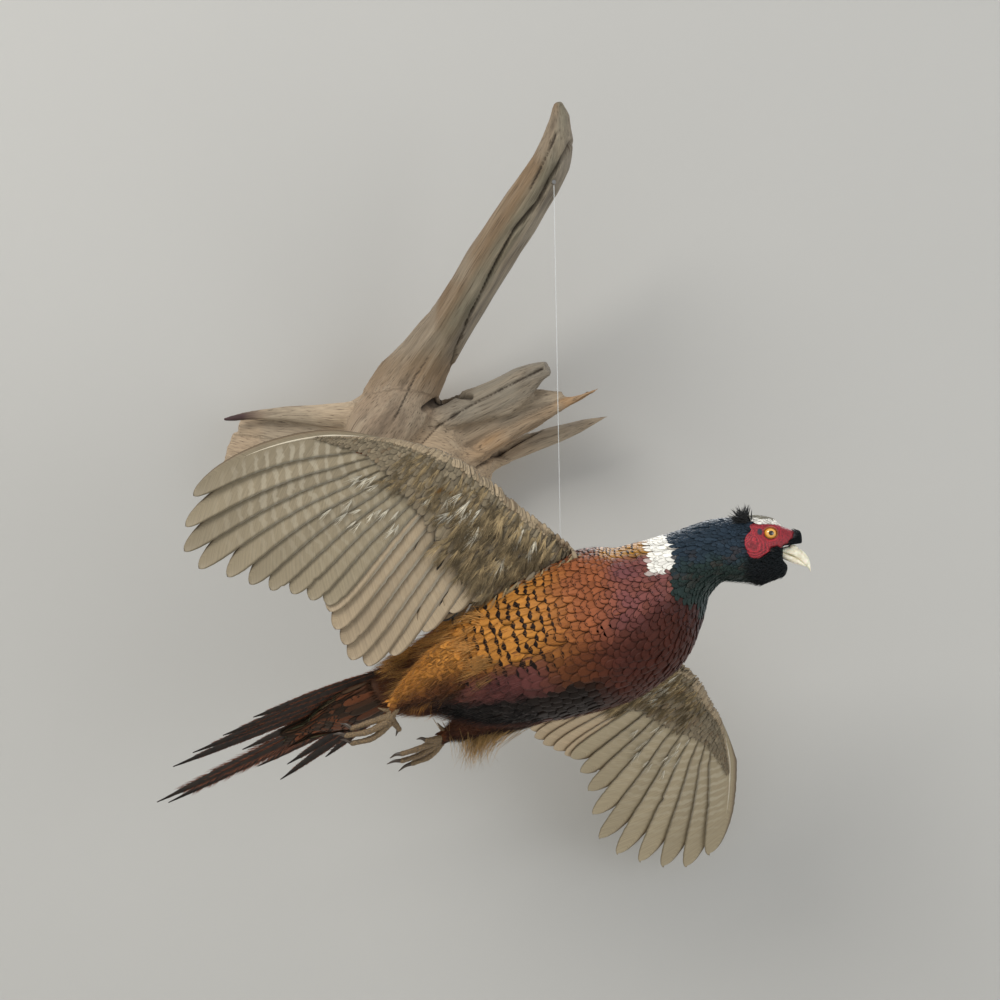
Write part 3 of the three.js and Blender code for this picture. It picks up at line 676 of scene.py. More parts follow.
def rounded_outline(v):
    """Half width along a vane as a share of its full half width: narrow quill, round tip."""
    quill, tip = 0.35, 0.42  # the quill's width, and the share of the length that is round
    root = quill + (1 - quill) * np.clip(v / 0.35, 0, 1) ** 0.7
    end = np.sqrt(np.clip(1 - (np.clip(v - (1 - tip), 0, None) / tip) ** 2, 0.0016, 1))
    return root * end


def vane_fields(lines, normals, widths, plan, cup=0.12, thick=0.3, roll=None):
    """Vertices, and vane coordinates, of many vanes laid on lines of points with their normals."""
    v, u, sheet, faces, along = plan
    count = len(lines)
    rows = np.searchsorted(along, v - 1e-9)
    tangents = unit(np.gradient(lines, axis=1))
    side = unit(np.cross(tangents, normals))
    normals = unit(np.cross(side, tangents))
    if roll is not None:
        cos, sin = np.cos(roll)[:, None, None], np.sin(roll)[:, None, None]
        side, normals = side * cos + normals * sin, normals * cos - side * sin
    share = rounded_outline(v)
    half = widths[:, None] / 2 * share
    across = (u * half)[..., None]
    dip = (cup * widths[:, None] / 2 * (u**2) * share)[..., None]
    swell = (sheet * thick / 2 * (1 - u**2) * (1 - 0.7 * v))[..., None]
    place = lines[:, rows] + side[:, rows] * across - normals[:, rows] * dip + normals[:, rows] * swell
    flat = np.stack(
        [np.broadcast_to(0.5 + 0.5 * u * share, (count, len(v))), np.broadcast_to(v, (count, len(v)))], -1
    )
    every = (faces[None] + (np.arange(count) * len(v))[:, None, None]).reshape(-1, 4)
    return place.reshape(-1, 3), every, flat.reshape(-1, 2), len(v)


PATCH = 0.003  # the width of a tuft's patch on the unwrap


def bake_patch(flat, homes, per):
    """Each tuft's own small patch at its root's place on the unwrapped skin."""
    return np.repeat(homes, per, axis=0) + (flat - 0.5) * PATCH


def strand_fields(lines, widths, across):
    """Tapered three-sided strands along lines of points."""
    count, stations = lines.shape[:2]
    tangents = unit(np.gradient(lines, axis=1))
    side = unit(np.cross(tangents, np.broadcast_to(across, tangents.shape)))
    other = unit(np.cross(side, tangents))
    share = (1 - np.linspace(0, 1, stations) ** 1.4)[None, :, None] * widths[:, None, None] / 2
    angles = np.radians([90, 210, 330])
    ring = [lines + share * (side * math.cos(a) + other * math.sin(a) * 0.6) for a in angles]
    body = np.stack(ring, axis=2)[:, :-1].reshape(count, -1, 3)
    vertices = np.concatenate([body, lines[:, -1:]], axis=1)
    per = vertices.shape[1]
    quads, tris = [], []
    for k in range(stations - 2):
        for j in range(3):
            a, b = 3 * k + j, 3 * k + (j + 1) % 3
            quads.append((a, b, b + 3, a + 3))
    top = 3 * (stations - 2)
    for j in range(3):
        tris.append((top + j, top + (j + 1) % 3, per - 1))
    tris.append((2, 1, 0))
    shift = (np.arange(count) * per)[:, None, None]
    v = np.concatenate([np.repeat(np.linspace(0, 1, stations)[:-1], 3), [1]])
    flat = np.broadcast_to(np.stack([np.full(per, 0.5), v], -1), (count, per, 2)).reshape(-1, 2)
    quads = (np.array(quads)[None] + shift).reshape(-1, 4)
    tris = (np.array(tris)[None] + shift).reshape(-1, 3)
    return vertices.reshape(-1, 3), quads, tris, flat, per


class Coat:
    """Collects vanes and strands for one joined coat piece."""

    def __init__(self):
        self.parts = []
        self.total = 0

    def add(self, vertices, faces, flat, homes, per, tone, marks):
        tone, marks = (np.repeat(np.asarray(x, float), per, axis=0) for x in (tone, marks))
        self.parts.append({
            "vertices": vertices,
            "faces": [f + self.total for f in faces],
            "flat": flat,
            "bake": bake_patch(flat, homes, per),
            "tone": tone,
            "marks": marks,
        })
        self.total += len(vertices)

    def add_vanes(self, lines, normals, widths, plan, homes, tone, marks, **shape):
        vertices, quads, flat, per = vane_fields(lines, normals, widths, plan, **shape)
        self.add(vertices, [quads, np.zeros((0, 3), int)], flat, homes, per, tone, marks)

    def add_strands(self, lines, widths, homes, tone, across):
        vertices, quads, tris, flat, per = strand_fields(lines, widths, across)
        self.add(vertices, [quads, tris], flat, homes, per, tone, np.zeros((len(lines), 4)))

    def piece(self, name, materials):
        join = {
            k: np.concatenate([p[k] for p in self.parts])
            for k in ("vertices", "flat", "bake", "tone", "marks")
        }
        faces = [np.concatenate([p["faces"][i] for p in self.parts]) for i in range(2)]
        vectors = {"tone": join["tone"], "marks": join["marks"]}
        uvs = {"vane": join["flat"], "OFBake": join["bake"]}
        return mesh_piece(name, join["vertices"], faces, materials, vectors, uvs)


# ---- The coat's colours and markings ----------------------------------------------------------------------


def blend(base, colour, share):
    return base + (np.array(colour)[None, :3] - base) * np.clip(share, 0, 1)[:, None]


def band(x, start, end, soft):
    return smoothstep(x, start - soft, start + soft) * (1 - smoothstep(x, end - soft, end + soft))


def neck_start(b):
    """The station where the neck's green begins, b degrees round from the belly's middle."""
    return np.interp(b, (0, 20, 42, 63, 89, 134), (6.45, 6.3, 6.22, 6.62, 6.96, 7.1))


def plumage(s, phi):
    """Tone and marks at station s, phi from the back. Marks: edge width, spot size, streak and barring."""
    dye = bpy.context.scene.pheasant_plumage
    turn = np.degrees(np.arctan2(np.sin(phi), np.cos(phi)))
    b = 180 - np.abs(turn)  # 0 on the belly's middle, 180 on the back's
    spot = np.stack([s * 0.9, turn / 28, np.zeros_like(s)], -1)
    mottle = noise(spot * 3.1, 5)
    ring = s + 0.03 * noise(spot * 2.3, 4)
    s = s + 0.12 * noise(spot * 2.3, 3)
    green_from = neck_start(b)

    tone = np.repeat(np.array(dye.gold)[None, :3], len(s), axis=0)
    tone = blend(tone, dye.copper, smoothstep(s, 3.0, 4.1) * 0.95)
    tone = blend(tone, dye.plum, smoothstep(s + 0.012 * (80 - b), 4.3, 5.3) * (0.75 + 0.25 * mottle))
    # Partly painted shade: the breast's underside and the belly's sides are darkened to the lower-breast
    # tint.
    tone = blend(tone, dye.mahogany_and_shade, smoothstep(-b, -58, -14) * smoothstep(s, 3.9, 4.9) * 0.8)
    tone = blend(tone, dye.mahogany_and_shade, smoothstep(-b, -52, -26) * smoothstep(s, 1.3, 2.4) * 0.85)
    tone = blend(tone, dye.vent, smoothstep(-s, -2.0, -0.8))
    tone = blend(
        tone, np.array(dye.plum) * (0.6, 0.5, 0.5), smoothstep(-b, -46, -30) * band(s, 1.0, 3.2, 0.4) * 0.85
    )
    # Painted shade: on the left side alone, which faces the wall and down, the lower rear is darkened to the
    # lower-breast tint.
    tone = blend(tone, dye.mahogany_and_shade, smoothstep(-b, -85, -45) * (turn > 0) * smoothstep(s, 0.5, 1.2) * 0.9)
    across = np.abs(np.where(turn < 0, b, -b) + 8)
    tone = blend(tone, dye.belly, smoothstep(-across, -25, -16) * band(s, 1.1, 3.9, 0.4))
    tone = blend(tone, dye.rump_side, smoothstep(b, 96, 110) * smoothstep(-s, -3.6, -2.8))
    tone = blend(tone, dye.back, smoothstep(b, 122, 140) * smoothstep(-s, -3.6, -2.8))
    tone = blend(tone, dye.scapular, smoothstep(b, 100, 118) * band(s, 3.0, 4.9, 0.3))
    tone = blend(tone, dye.mantle, smoothstep(b, 96, 112) * smoothstep(s, 4.5, 5.0))
    neck = smoothstep(ring, green_from - 0.03, green_from + 0.05)
    collar = smoothstep(b, 66, 74) * smoothstep(ring, green_from - 0.78, green_from - 0.7) * (1 - neck)
    tone = blend(tone, dye.collar, collar)
    tone = blend(tone, dye.neck_green, neck)
    tone = blend(tone, dye.neck_blue, neck * smoothstep(b + 16 * mottle, 45, 95))
    # Painted sheen: bronze patches stand for the neck's iridescence where it catches the light.
    bronze_sheen = smoothstep(noise(spot * 4.0, 6), 0.1, 0.6) * band(b, 30, 95, 20) * 0.55
    tone = blend(tone, linear("#3d2f28"), neck * bronze_sheen)
    tone = blend(tone, dye.throat, smoothstep(-b, -80, -45) * smoothstep(s, 8.6, 9.6))
    tone = blend(tone, dye.crown, smoothstep(b, 146, 158) * band(s, 9.4, 11.75, 0.15))
    tone = blend(tone, dye.collar, band(b, 131, 148, 4) * band(s, 9.9, 11.7, 0.12) * 0.8)
    tone = tone * (1 + 0.14 * noise(spot * 9.0, 9))[:, None]

    breast = band(s, 2.9, 6.9, 0.4) * smoothstep(b, 22, 50) * (1 - smoothstep(b, 100, 120))
    flank = band(s, 0.9, 3.5, 0.4) * smoothstep(b, 20, 34) * (1 - smoothstep(b, 104, 120))
    mantle = smoothstep(b, 100, 116) * band(s, 3.0, 6.2, 0.2)
    lower_back = smoothstep(b, 100, 120) * smoothstep(-s, -3.4, -2.8)
    edge = 0.075 * breast + 0.02 * flank + 0.12 * mantle + 0.12 * lower_back
    size = 0.35 * breast + 1.15 * flank + 0.9 * mantle
    streak = 0.1 * lower_back
    return tone, np.stack(
        [edge, size, streak, 0.5 * lower_back], -1
    ) * (1 - np.maximum(neck, collar))[:, None]


def clouded_material(name, scale, pale, dark, detail=2.0, **sockets):
    """A plain finish whose colour drifts between two tones in soft clouds."""
    material, node, shader = new_material(name, **sockets)
    here = node("TexCoord").outputs["Object"]
    cloud = node("TexNoise", {"Vector": here, "Scale": scale, "Detail": detail})
    wire(shader, {"Base Color": node("Mix", {0: cloud, 6: rgba(pale), 7: rgba(dark)}, data_type="RGBA")})
    return material, node, shader, cloud


def vane_axes(node):
    """A vane's own coordinates: across it from -1 to 1, off its shaft, and along it from root to tip."""
    axes = node("SeparateXYZ", (node("UVMap", uv_map="vane"),))
    across = node("Math", (axes.outputs[0], 2.0, -1.0), operation="MULTIPLY_ADD")
    return across, node("Math", (across,), operation="ABSOLUTE"), axes.outputs[1]


def feather_material(name, roughness, barbs, sheen, sheen_tint, specular_tint, streak):
    """Barbs slant to the tip, and ink edges, tip spots, shaft streaks and bars lie over the tone."""
    dye = bpy.context.scene.pheasant_plumage
    sockets = {
        "Roughness": roughness,
        "Specular IOR Level": 0.2,
        "Sheen Weight": sheen,
        "Sheen Roughness": 0.4,
        "Sheen Tint": rgba(sheen_tint),
        "Specular Tint": rgba(specular_tint),
    }
    material, node, shader = new_material(name, **sockets)
    tone = node("Attribute", attribute_name="tone")
    marks = node("Attribute", attribute_name="marks")
    split = node("SeparateColor", {"Color": marks})
    across, off, v = vane_axes(node)
    barb = node("Math", (off, -1.0, node("Math", (v, 3.2), operation="MULTIPLY")), operation="MULTIPLY_ADD")
    place = node("CombineXYZ", {0: node("Math", (barb, barbs), operation="MULTIPLY"), 1: across})
    here = node("TexCoord").outputs["Object"]
    shifted = node("VectorMath", {0: here, 1: (40.0, 40.0, 40.0), 2: place}, operation="MULTIPLY_ADD")
    grain = node("TexNoise", {"Vector": shifted, "Scale": 1.0, "Detail": 2.0})
    shade = node("Math", (grain, 0.9, 0.55), operation="MULTIPLY_ADD")
    worn = node("Mix", {0: 1.0, 6: tone, 7: shade}, data_type="RGBA", blend_type="MULTIPLY")
    tip = node(
        "Math",
        (node("Math", (node("Math", (v, 0.58), operation="SUBTRACT"), 0.0), operation="MAXIMUM"), 2.38),
        operation="MULTIPLY",
    )
    reach = node(
        "Math",
        (
            node(
                "Math",
                (node("Math", (off, 2.0), operation="POWER"), node("Math", (tip, 2.0), operation="POWER")),
                operation="ADD",
            ),
        ),
        operation="SQRT",
    )
    rim = node("Math", (1.0, split.outputs[0]), operation="SUBTRACT")
    edge = node(
        "MapRange",
        {
            0: reach, 1: node("Math", (rim, 0.05), operation="SUBTRACT"),
            2: node("Math", (rim, 0.02), operation="ADD"),
        },
        interpolation_type="SMOOTHSTEP",
    )
    edge = node(
        "Math", (edge, node("Math", (split.outputs[0], 0.015), operation="GREATER_THAN")),
        operation="MULTIPLY",
    )
    wide = node("Math", (off, 0.8), operation="DIVIDE")
    tall = node(
        "Math", (node("Math", (node("Math", (v, 0.9), operation="SUBTRACT"),), operation="ABSOLUTE"), 0.07),
        operation="DIVIDE",
    )
    from_spot = node("Math", (wide, tall), operation="ADD")
    spot = node(
        "MapRange", {0: node("Math", (split.outputs[1], from_spot), operation="SUBTRACT"), 1: -0.06, 2: 0.06}
    )
    spot = node(
        "Math", (spot, node("Math", (split.outputs[1], 0.05), operation="GREATER_THAN")),
        operation="MULTIPLY",
    )
    bars = node("Math", (node("Math", (v, 70.0), operation="MULTIPLY"),), operation="SINE")
    bars = node(
        "Math", (node("Math", (bars, 0.1), operation="GREATER_THAN"), marks.outputs["Alpha"]),
        operation="MULTIPLY", use_clamp=True,
    )
    inked = node(
        "Mix", {0: node("Math", (bars, 0.6), operation="MULTIPLY"), 6: worn, 7: rgba(dye.ink)},
        data_type="RGBA",
    )
    line = node("Math", (off, streak), operation="LESS_THAN")
    inked = node(
        "Mix",
        {0: node("Math", (line, split.outputs[2]), operation="MULTIPLY"), 6: inked, 7: rgba(dye.collar)},
        data_type="RGBA",
    )
    inked = node(
        "Mix", {0: node("Math", (edge, spot), operation="MAXIMUM"), 6: inked, 7: rgba(dye.ink)},
        data_type="RGBA",
    )
    bump = node("Bump", {"Strength": 0.35, "Distance": 0.0004, "Height": grain})
    wire(shader, {"Base Color": inked, "Normal": bump})
    return material


# ---- Skin -------------------------------------------------------------------------------------------------

THIGH_TUBES = {side: Tube(t["line"], t["sizes"], DORSAL) for side, t in THIGHS.items()}


def tail_axis(splay):
    return -FORWARD * math.cos(math.radians(splay)) + LEFT * math.sin(math.radians(splay))


TAIL_ROOT = np.array(SPINE[0][0], float)
TAIL_LINE = [TAIL_ROOT + tail_axis(TAIL_COVERT_SPLAY) * length for length, _ in TAIL_COVERTS]
TAIL_SIZES = [size for _, size in TAIL_COVERTS]
TAIL_TUBE = Tube(TAIL_LINE, TAIL_SIZES, DORSAL)


class Wing:
    """One wing's plane, its fan of flight feathers and its coverts' edges."""

    def __init__(self, name):
        self.data = WINGS[name]
        self.leading = self.data["leading"]
        turn = Matrix.Rotation(math.radians(self.data["turn"]), 3, "Z")
        self.axes = np.array(turn @ Matrix.Rotation(math.radians(self.data["tilt"]), 3, "X"))
        self.origin = np.array(self.data["wrist"], float)

    def place(self, local):
        return np.asarray(local, float) @ self.axes.T + self.origin

    def local(self, point):
        return (np.asarray(point, float) - self.origin) @ self.axes

    def stations(self, part, t):
        leads = spline([s[0] for s in self.data[part]], t)
        trails = spline([s[1] for s in self.data[part]], t)
        thick = spline([(s[2], 0, 0) for s in self.data[part]], t)[..., 0]
        return leads, trails, thick

    def angle(self, part, t):
        """The way that feathers point, in radians, at t outwards along the arm or the hand."""
        if part == "arm":
            inner, wrist = self.data["secondary_angles"][1], self.data["secondary_angles"][0]
            return np.radians(inner + (wrist - inner) * t)
        tip, wrist = self.data["primary_angles"]
        return np.radians(wrist + (tip - wrist) * t)

    def feathers(self):
        """Each flight feather's root, angle, size, bow and shaft place, from the wing's tip inwards."""
        rows = []
        for kind, bone in (("primary", "hand"), ("secondary", "elbow")):
            lengths = self.data[f"{kind}_lengths"]
            first, last = self.data[f"{kind}_angles"]
            spread = self.data["primary_spread"] if kind == "primary" else 1
            bows = self.data["primary_bow"] if kind == "primary" else (5, 3)
            for i, length in enumerate(lengths):
                share = i / (len(lengths) - 1)
                reach = 1 - share if kind == "primary" else share
                rows.append(
                    {
                        "kind": kind,
                        "share": share,
                        "root": np.array(self.data[bone], float) * reach,
                        "angle": math.radians(first + (last - first) * share**spread),
                        "length": length,
                        "width": float(
                            np.interp(share, (0, 1), self.data["primary_widths"])
                        ) if kind == "primary" else 31,
                        "bow": bows[0] + (bows[1] - bows[0]) * share,
                        "shaft": -0.5 + 0.15 * share if kind == "primary" else -0.25,
                    }
                )
        return rows


WING = {name: Wing(name) for name in WINGS}


def wing_muscle_rings(wing, part, sides=14):
    """The bare arm or hand inside its coverts: oval sections behind the leading edge."""
    rings = []
    phi = np.linspace(0, 2 * math.pi, sides, endpoint=False)
    for t in np.linspace(0.02, 0.98 if part == "arm" else 0.7, 9):
        lead, trail, thick = wing.stations(part, np.array(t))
        chord = trail - lead
        middle = lead + chord * 0.24
        ring = middle + np.cos(phi)[:, None] * chord * 0.17
        ring = ring + np.sin(phi)[:, None] * np.array([0, thick * 0.3, 0])
        rings.append(wing.place(ring))
    return rings


def evaluated_copy(piece):
    """The piece's mesh with its modifiers applied; the piece itself goes."""
    graph = bpy.context.evaluated_depsgraph_get()
    mesh = bpy.data.meshes.new_from_object(piece.evaluated_get(graph))
    name = piece.name
    bpy.data.objects.remove(piece)
    mesh.name = name
    done = bpy.data.objects.new(name, mesh)
    bpy.context.scene.collection.objects.link(done)
    return done


def remeshed(piece, voxel_mm, smoothing):
    remesh = piece.modifiers.new("remesh", "REMESH")
    remesh.mode = "VOXEL"
    remesh.voxel_size = voxel_mm * MM
    remesh.use_smooth_shade = True
    smooth = piece.modifiers.new("smooth", "SMOOTH")
    smooth.factor = 0.5
    smooth.iterations = smoothing
    return evaluated_copy(piece)


def coords_mm(mesh):
    co = np.empty(len(mesh.vertices) * 3, np.float32)
    mesh.vertices.foreach_get("co", co)
    return co.reshape(-1, 3).astype(float) / MM


def body_place(points):
    """The station along the body and the angle from the back of each point, by its nearest section."""
    t = np.linspace(0, 1, 160)
    centre, _, left, up, size = BODY_TUBE.section(t)
    near = np.argmin(((points[:, None] - centre[None]) ** 2).sum(-1), axis=1)
    out = points - centre[near]
    high = (out * up[near]).sum(-1)
    tall = np.where(high > 0, size[near, 1], size[near, 2])
    phi = np.arctan2((out * left[near]).sum(-1) / size[near, 0], high / tall)
    return t[near], phi


def set_vectors(mesh, key, values):
    attribute = mesh.attributes.new(key, "FLOAT_VECTOR", "POINT")
    attribute.data.foreach_set("vector", values.astype(np.float32).ravel())


class PHEASANT_OT_skin(bpy.types.Operator):
    """One skin under the whole coat, a coat's depth inside the outline"""

    bl_idname = "pheasant.skin"
    bl_label = "Skin"

    def execute(self, context):
        bm = bmesh.new()
        add_tube(bm, tube_rings(BODY_TUBE, 44, 30, depth=coat_depth, taper_ends=3))
        for tube in THIGH_TUBES.values():
            add_tube(bm, tube_rings(tube, 12, 16, end=0.96, depth=3.0, taper_ends=2))
        add_tube(bm, tube_rings(TAIL_TUBE, 10, 16, end=0.62, depth=3.0, taper_ends=2))
        for wing in WING.values():
            for part in ("arm", "hand_coverts"):
                add_tube(bm, wing_muscle_rings(wing, part))
        # Bare skin, dried and stretched over a form: dull, with a fine grain of feather pits.
        material, node, shader = new_material("dried_skin", Roughness=0.8)
        tone = node("Attribute", attribute_name="tone")
        here = node("TexCoord").outputs["Object"]
        pits = node("TexVoronoi", {"Vector": here, "Scale": 400.0})
        bump = node("Bump", {"Strength": 0.3, "Distance": 0.0005, "Height": pits})
        wire(
            shader,
            {
                "Base Color": node(
                    "Mix", {0: 0.35, 6: tone, 7: rgba(context.scene.pheasant_parts.skin)}, data_type="RGBA"
                ),
                "Normal": bump,
            },
        )
        piece = remeshed(bm_piece("skin", bm, []), 2.2, 3)
        piece.data.materials.append(material)
        points = coords_mm(piece.data)
        drawn = clear_of_bill(points)
        points = np.where(points[:, :1] > 296, drawn, points)
        piece.data.vertices.foreach_set("co", (points * MM).astype(np.float32).ravel())
        t, phi = body_place(points)
        tone, _ = plumage(t * LAST, phi)
        set_vectors(piece.data, "tone", tone)
        flesh = ["trunk", "rump", "neck", "head", "thigh_right", "thigh_left"]
        flesh += [f"wing_{side}_{part}" for side in WING for part in ("arm", "hand")]
        finish_piece(piece, "body_plumage", *flesh)
        return {"FINISHED"}


# ---- Body coat --------------------------------------------------------------------------------------------

PLANS = {"middle": vane_plan(7, 5), "small": vane_plan(5, 3), "flight": vane_plan(56, 9)}


def ring_layout(tube, start, end, spacing, count):
    """Staggered feather roots round a tube: millimetres along it and angle round it."""
    along, around = [], []
    here, row = start, 0
    while here < end:
        t = float(tube.t_at(here))
        n = int(count(t))
        phi = (np.arange(n) + 0.5 * (row % 2)) * 2 * math.pi / n - math.pi
        along.append(np.full(n, here))
        around.append(phi)
        here += spacing(t)
        row += 1
    return np.concatenate(along), np.concatenate(around)


def tube_lines(tube, along, phi, lengths, steps, depth, rise, yaw, lift=0.0):
    """Feather lines from roots towards the tube's start, rising from the skin to the coat's surface."""
    v = steps[None, :]
    mm = along[:, None] - v * lengths[:, None]
    t = tube.t_at(np.clip(mm, 0, tube.length))
    around = phi[:, None] + yaw[:, None] * v
    inward = depth[:, None] * (1 - rise[0] - (rise[1] - rise[0]) * v**0.9) - lift * v**3
    points = tube.at(t, around, inward)
    beyond = np.clip(-mm, 0, None)[..., None]
    return points - tube.section(np.zeros(1))[1][0] * beyond, tube.normal(t, around)


def homes_on(tube, along, phi):
    return np.stack([0.02 + 0.96 * along / tube.length, 0.5 + 0.48 * phi / math.pi], -1)


def clear_of_bill(points):
    """Draws face feathers and skin back from the bill's sides."""
    x, z = points[..., 0], points[..., 2]
    limit = 300 + 18.5 * smoothstep(z, -113.5, -111.5) + 5.5 * smoothstep(-z, 125, 133)
    over = x - (limit - 4)
    drawn = np.where(over > 0, limit - 4 + 4 * (1 - np.exp(-np.maximum(over, 0) / 4)), x)
    return np.stack([drawn, points[..., 1], z], -1)


def wattle_depth(x, z):
    """How far inside the wattle's edge a place seen from the side lies, in mm. It is negative outside."""
    edge = np.array(WATTLE, float)
    ahead = np.roll(edge, -1, axis=0)
    p = np.stack([np.asarray(x), np.asarray(z)], -1)[..., None, :]
    run = ahead - edge
    share = np.clip(((p - edge) * run).sum(-1) / (run**2).sum(-1), 0, 1)
    far = np.linalg.norm(p - edge - share[..., None] * run, axis=-1).min(axis=-1)
    above = (edge[:, 1] > p[..., 1]) != (ahead[:, 1] > p[..., 1])
    cross = edge[:, 0] + (p[..., 1] - edge[:, 1]) / np.where(run[:, 1] == 0, 1e-9, run[:, 1]) * run[:, 0]
    inside = (above & (p[..., 0] < cross)).sum(axis=-1) % 2 == 1
    return np.where(inside, far, -far)


def face_tones(tone, tips):
    """Crown, white brow, black lores, forehead and chin, set by their place on the head."""
    dye = bpy.context.scene.pheasant_plumage
    x, z = tips[:, 0], tips[:, 2]
    black = np.array(dye.throat)
    tone = blend(tone, black, smoothstep(x, 262, 274) * smoothstep(-z, 116, 122))
    tone = blend(tone, black, smoothstep(x, 266, 270) * smoothstep(-z, 95.5, 96.5))
    low = np.interp(x, (272, 285, 305), (-94.4, -95.6, -96.4))
    high = np.interp(x, (272, 283, 293, 305), (-89.8, -90.2, -91.0, -93.2))
    head = smoothstep(x, 264, 267)
    tone = blend(tone, dye.crown, head * smoothstep(z, high - 0.3, high + 0.3))
    brow = (z > low) & (z <= high) & (x > 271) & (x < 306)
    tone = np.where(brow[:, None], np.array(dye.collar) * 0.9, tone)
    return blend(tone, black, smoothstep(x, 304.5, 307))


class PHEASANT_OT_body_coat(bpy.types.Operator):
    """Scale-like feathers of the trunk, in staggered rows that overlap towards the tail"""

    bl_idname = "pheasant.body_coat"
    bl_label = "Body coat"

    def execute(self, context):
        rng = np.random.default_rng(11)
        tube = BODY_TUBE
        start, end = tube.mm_at(0.35 / LAST), tube.mm_at(7.5 / LAST)

        def spacing(t):
            return np.interp(t * LAST, (0, 1, 2, 3.2, 4.3, 6, 7), (6, 7, 9, 8.6, 5.6, 4.8, 4.2))

        def count(t):
            return np.interp(t * LAST, (0, 1.2, 1.21, 3.2, 3.21, 7), (30, 30, 42, 42, 60, 60))

        along, phi = ring_layout(tube, start, end, spacing, count)
        step = spacing(tube.t_at(along))
        n = count(tube.t_at(along)).astype(int)
        along = along + rng.normal(0, 0.07, len(along)) * step
        phi = phi + rng.normal(0, 0.07, len(phi)) * 2 * math.pi / n
        t = tube.t_at(along)
        lengths = step * rng.uniform(2.7, 3.1, len(t))
        widths = tube.girth(t) / n * rng.uniform(1.35, 1.55, len(t))
        plan = PLANS["middle"]
        yaw = rng.normal(0, 0.03, len(t))
        lines, normals = tube_lines(
            tube, along, phi, lengths, plan[4], coat_depth(t), (0.45, 0.95), yaw, lift=0.2
        )
        tip_s = tube.t_at(np.clip(along - lengths * 0.85, 0, None)) * LAST
        tone, marks = plumage(tip_s, phi)
        keep = rng.random(len(t)) < np.interp(tip_s, (0.8, 2.2, 3), (0.35, 0.8, 1.0))
        marks[:, 1] *= keep * rng.uniform(0.8, 1.15, len(t))
        tone *= rng.uniform(0.86, 1.14, (len(t), 1))
        roll = rng.normal(0, 0.05, len(t))
        behind = t * LAST < neck_start(180 - np.abs(np.degrees(phi))) + 0.12
        homes = homes_on(tube, along, phi)
        # Contour feathers: stiff, slightly glossy barbs, with a purple-copper sheen on the breast.
        material = feather_material(
            "contour_feather", 0.5, 16.0, 0.03, (0.8, 0.45, 0.35), (1.0, 0.72, 0.62), 0.1
        )
        for name, here in (("coat_flanks", t * LAST < 3.4), ("coat_breast", t * LAST >= 3.4)):
            pick = here & behind
            coat = Coat()
            coat.add_vanes(
                lines[pick], normals[pick], widths[pick], plan, homes[pick], tone[pick], marks[pick],
                cup=0.07, thick=0.2, roll=roll[pick],
            )
            finish_piece(coat.piece(name, [material]), "body_plumage")
        return {"FINISHED"}


class PHEASANT_OT_neck_coat(bpy.types.Operator):
    """Short glossy feathers of the neck and head"""

    bl_idname = "pheasant.neck_coat"
    bl_label = "Neck and head coat"

    def execute(self, context):
        rng = np.random.default_rng(12)
        tube = BODY_TUBE
        # Neck hackles: narrow, pointed and glossy, blue above and green below.
        gloss = feather_material("neck_hackle", 0.42, 14.0, 0.06, (0.35, 0.45, 0.55), (0.6, 0.8, 0.85), 0.02)
        # Face and crown feathers: minute and velvety.
        velvet = feather_material("face_feather", 0.6, 6.0, 0.05, (0.3, 0.45, 0.45), (0.7, 0.85, 0.9), 0.02)
        regions = (
            ("coat_neck", 5.9, 9.5, (3.9, 2.7), 46, "middle", gloss, 3.4),
            ("coat_head", 9.3, 12.95, (2.0, 1.5), 66, "small", velvet, 3.2),
        )
        for name, first, last, gaps, rings, plan_name, material, overlap in regions:
            start, end = tube.mm_at(first / LAST), tube.mm_at(last / LAST)

            def spacing(t):
                return np.interp(t * LAST, (first, last), gaps)

            along, phi = ring_layout(tube, start, end, spacing, lambda t: rings)
            t = tube.t_at(along)
            step = spacing(t)
            along = along + rng.normal(0, 0.12, len(t)) * step
            phi = phi + rng.normal(0, 0.12, len(t)) * 2 * math.pi / rings
            t = tube.t_at(along)
            lengths = step * overlap * rng.uniform(0.85, 1.15, len(t))
            widths = tube.girth(t) / rings * rng.uniform(1.25, 1.5, len(t))
            plan = PLANS[plan_name]
            lines, normals = tube_lines(
                tube, along, phi, lengths, plan[4], coat_depth(t), (0.4, 0.97), rng.normal(0, 0.05, len(t)),
                lift=0.15,
            )
            tone, marks = plumage(tube.t_at(along - lengths * 0.8) * LAST, phi)
            if name == "coat_head":
                tips = lines[:, -1]
                lines = clear_of_bill(lines)
                tone = face_tones(tone, tips)
                bare = wattle_depth(lines[:, 2, 0], lines[:, 2, 2])
                shown = (
                    np.maximum(bare, wattle_depth(tips[:, 0], tips[:, 2])) < 0.9
                ) & (lines[:, 0, 0] < 318)
            else:
                shown = tube.t_at(along) * LAST > neck_start(180 - np.abs(np.degrees(phi))) - 0.1
            tone = tone * rng.uniform(0.8, 1.2, (len(t), 1))
            homes = homes_on(tube, along, phi)
            coat = Coat()
            coat.add_vanes(
                lines[shown], normals[shown], widths[shown], plan, homes[shown], tone[shown], marks[shown],
                cup=0.12, thick=0.2,
            )
            finish_piece(coat.piece(name, [material]), "neck_plumage")
        return {"FINISHED"}


# ---- Face -------------------------------------------------------------------------------------------------


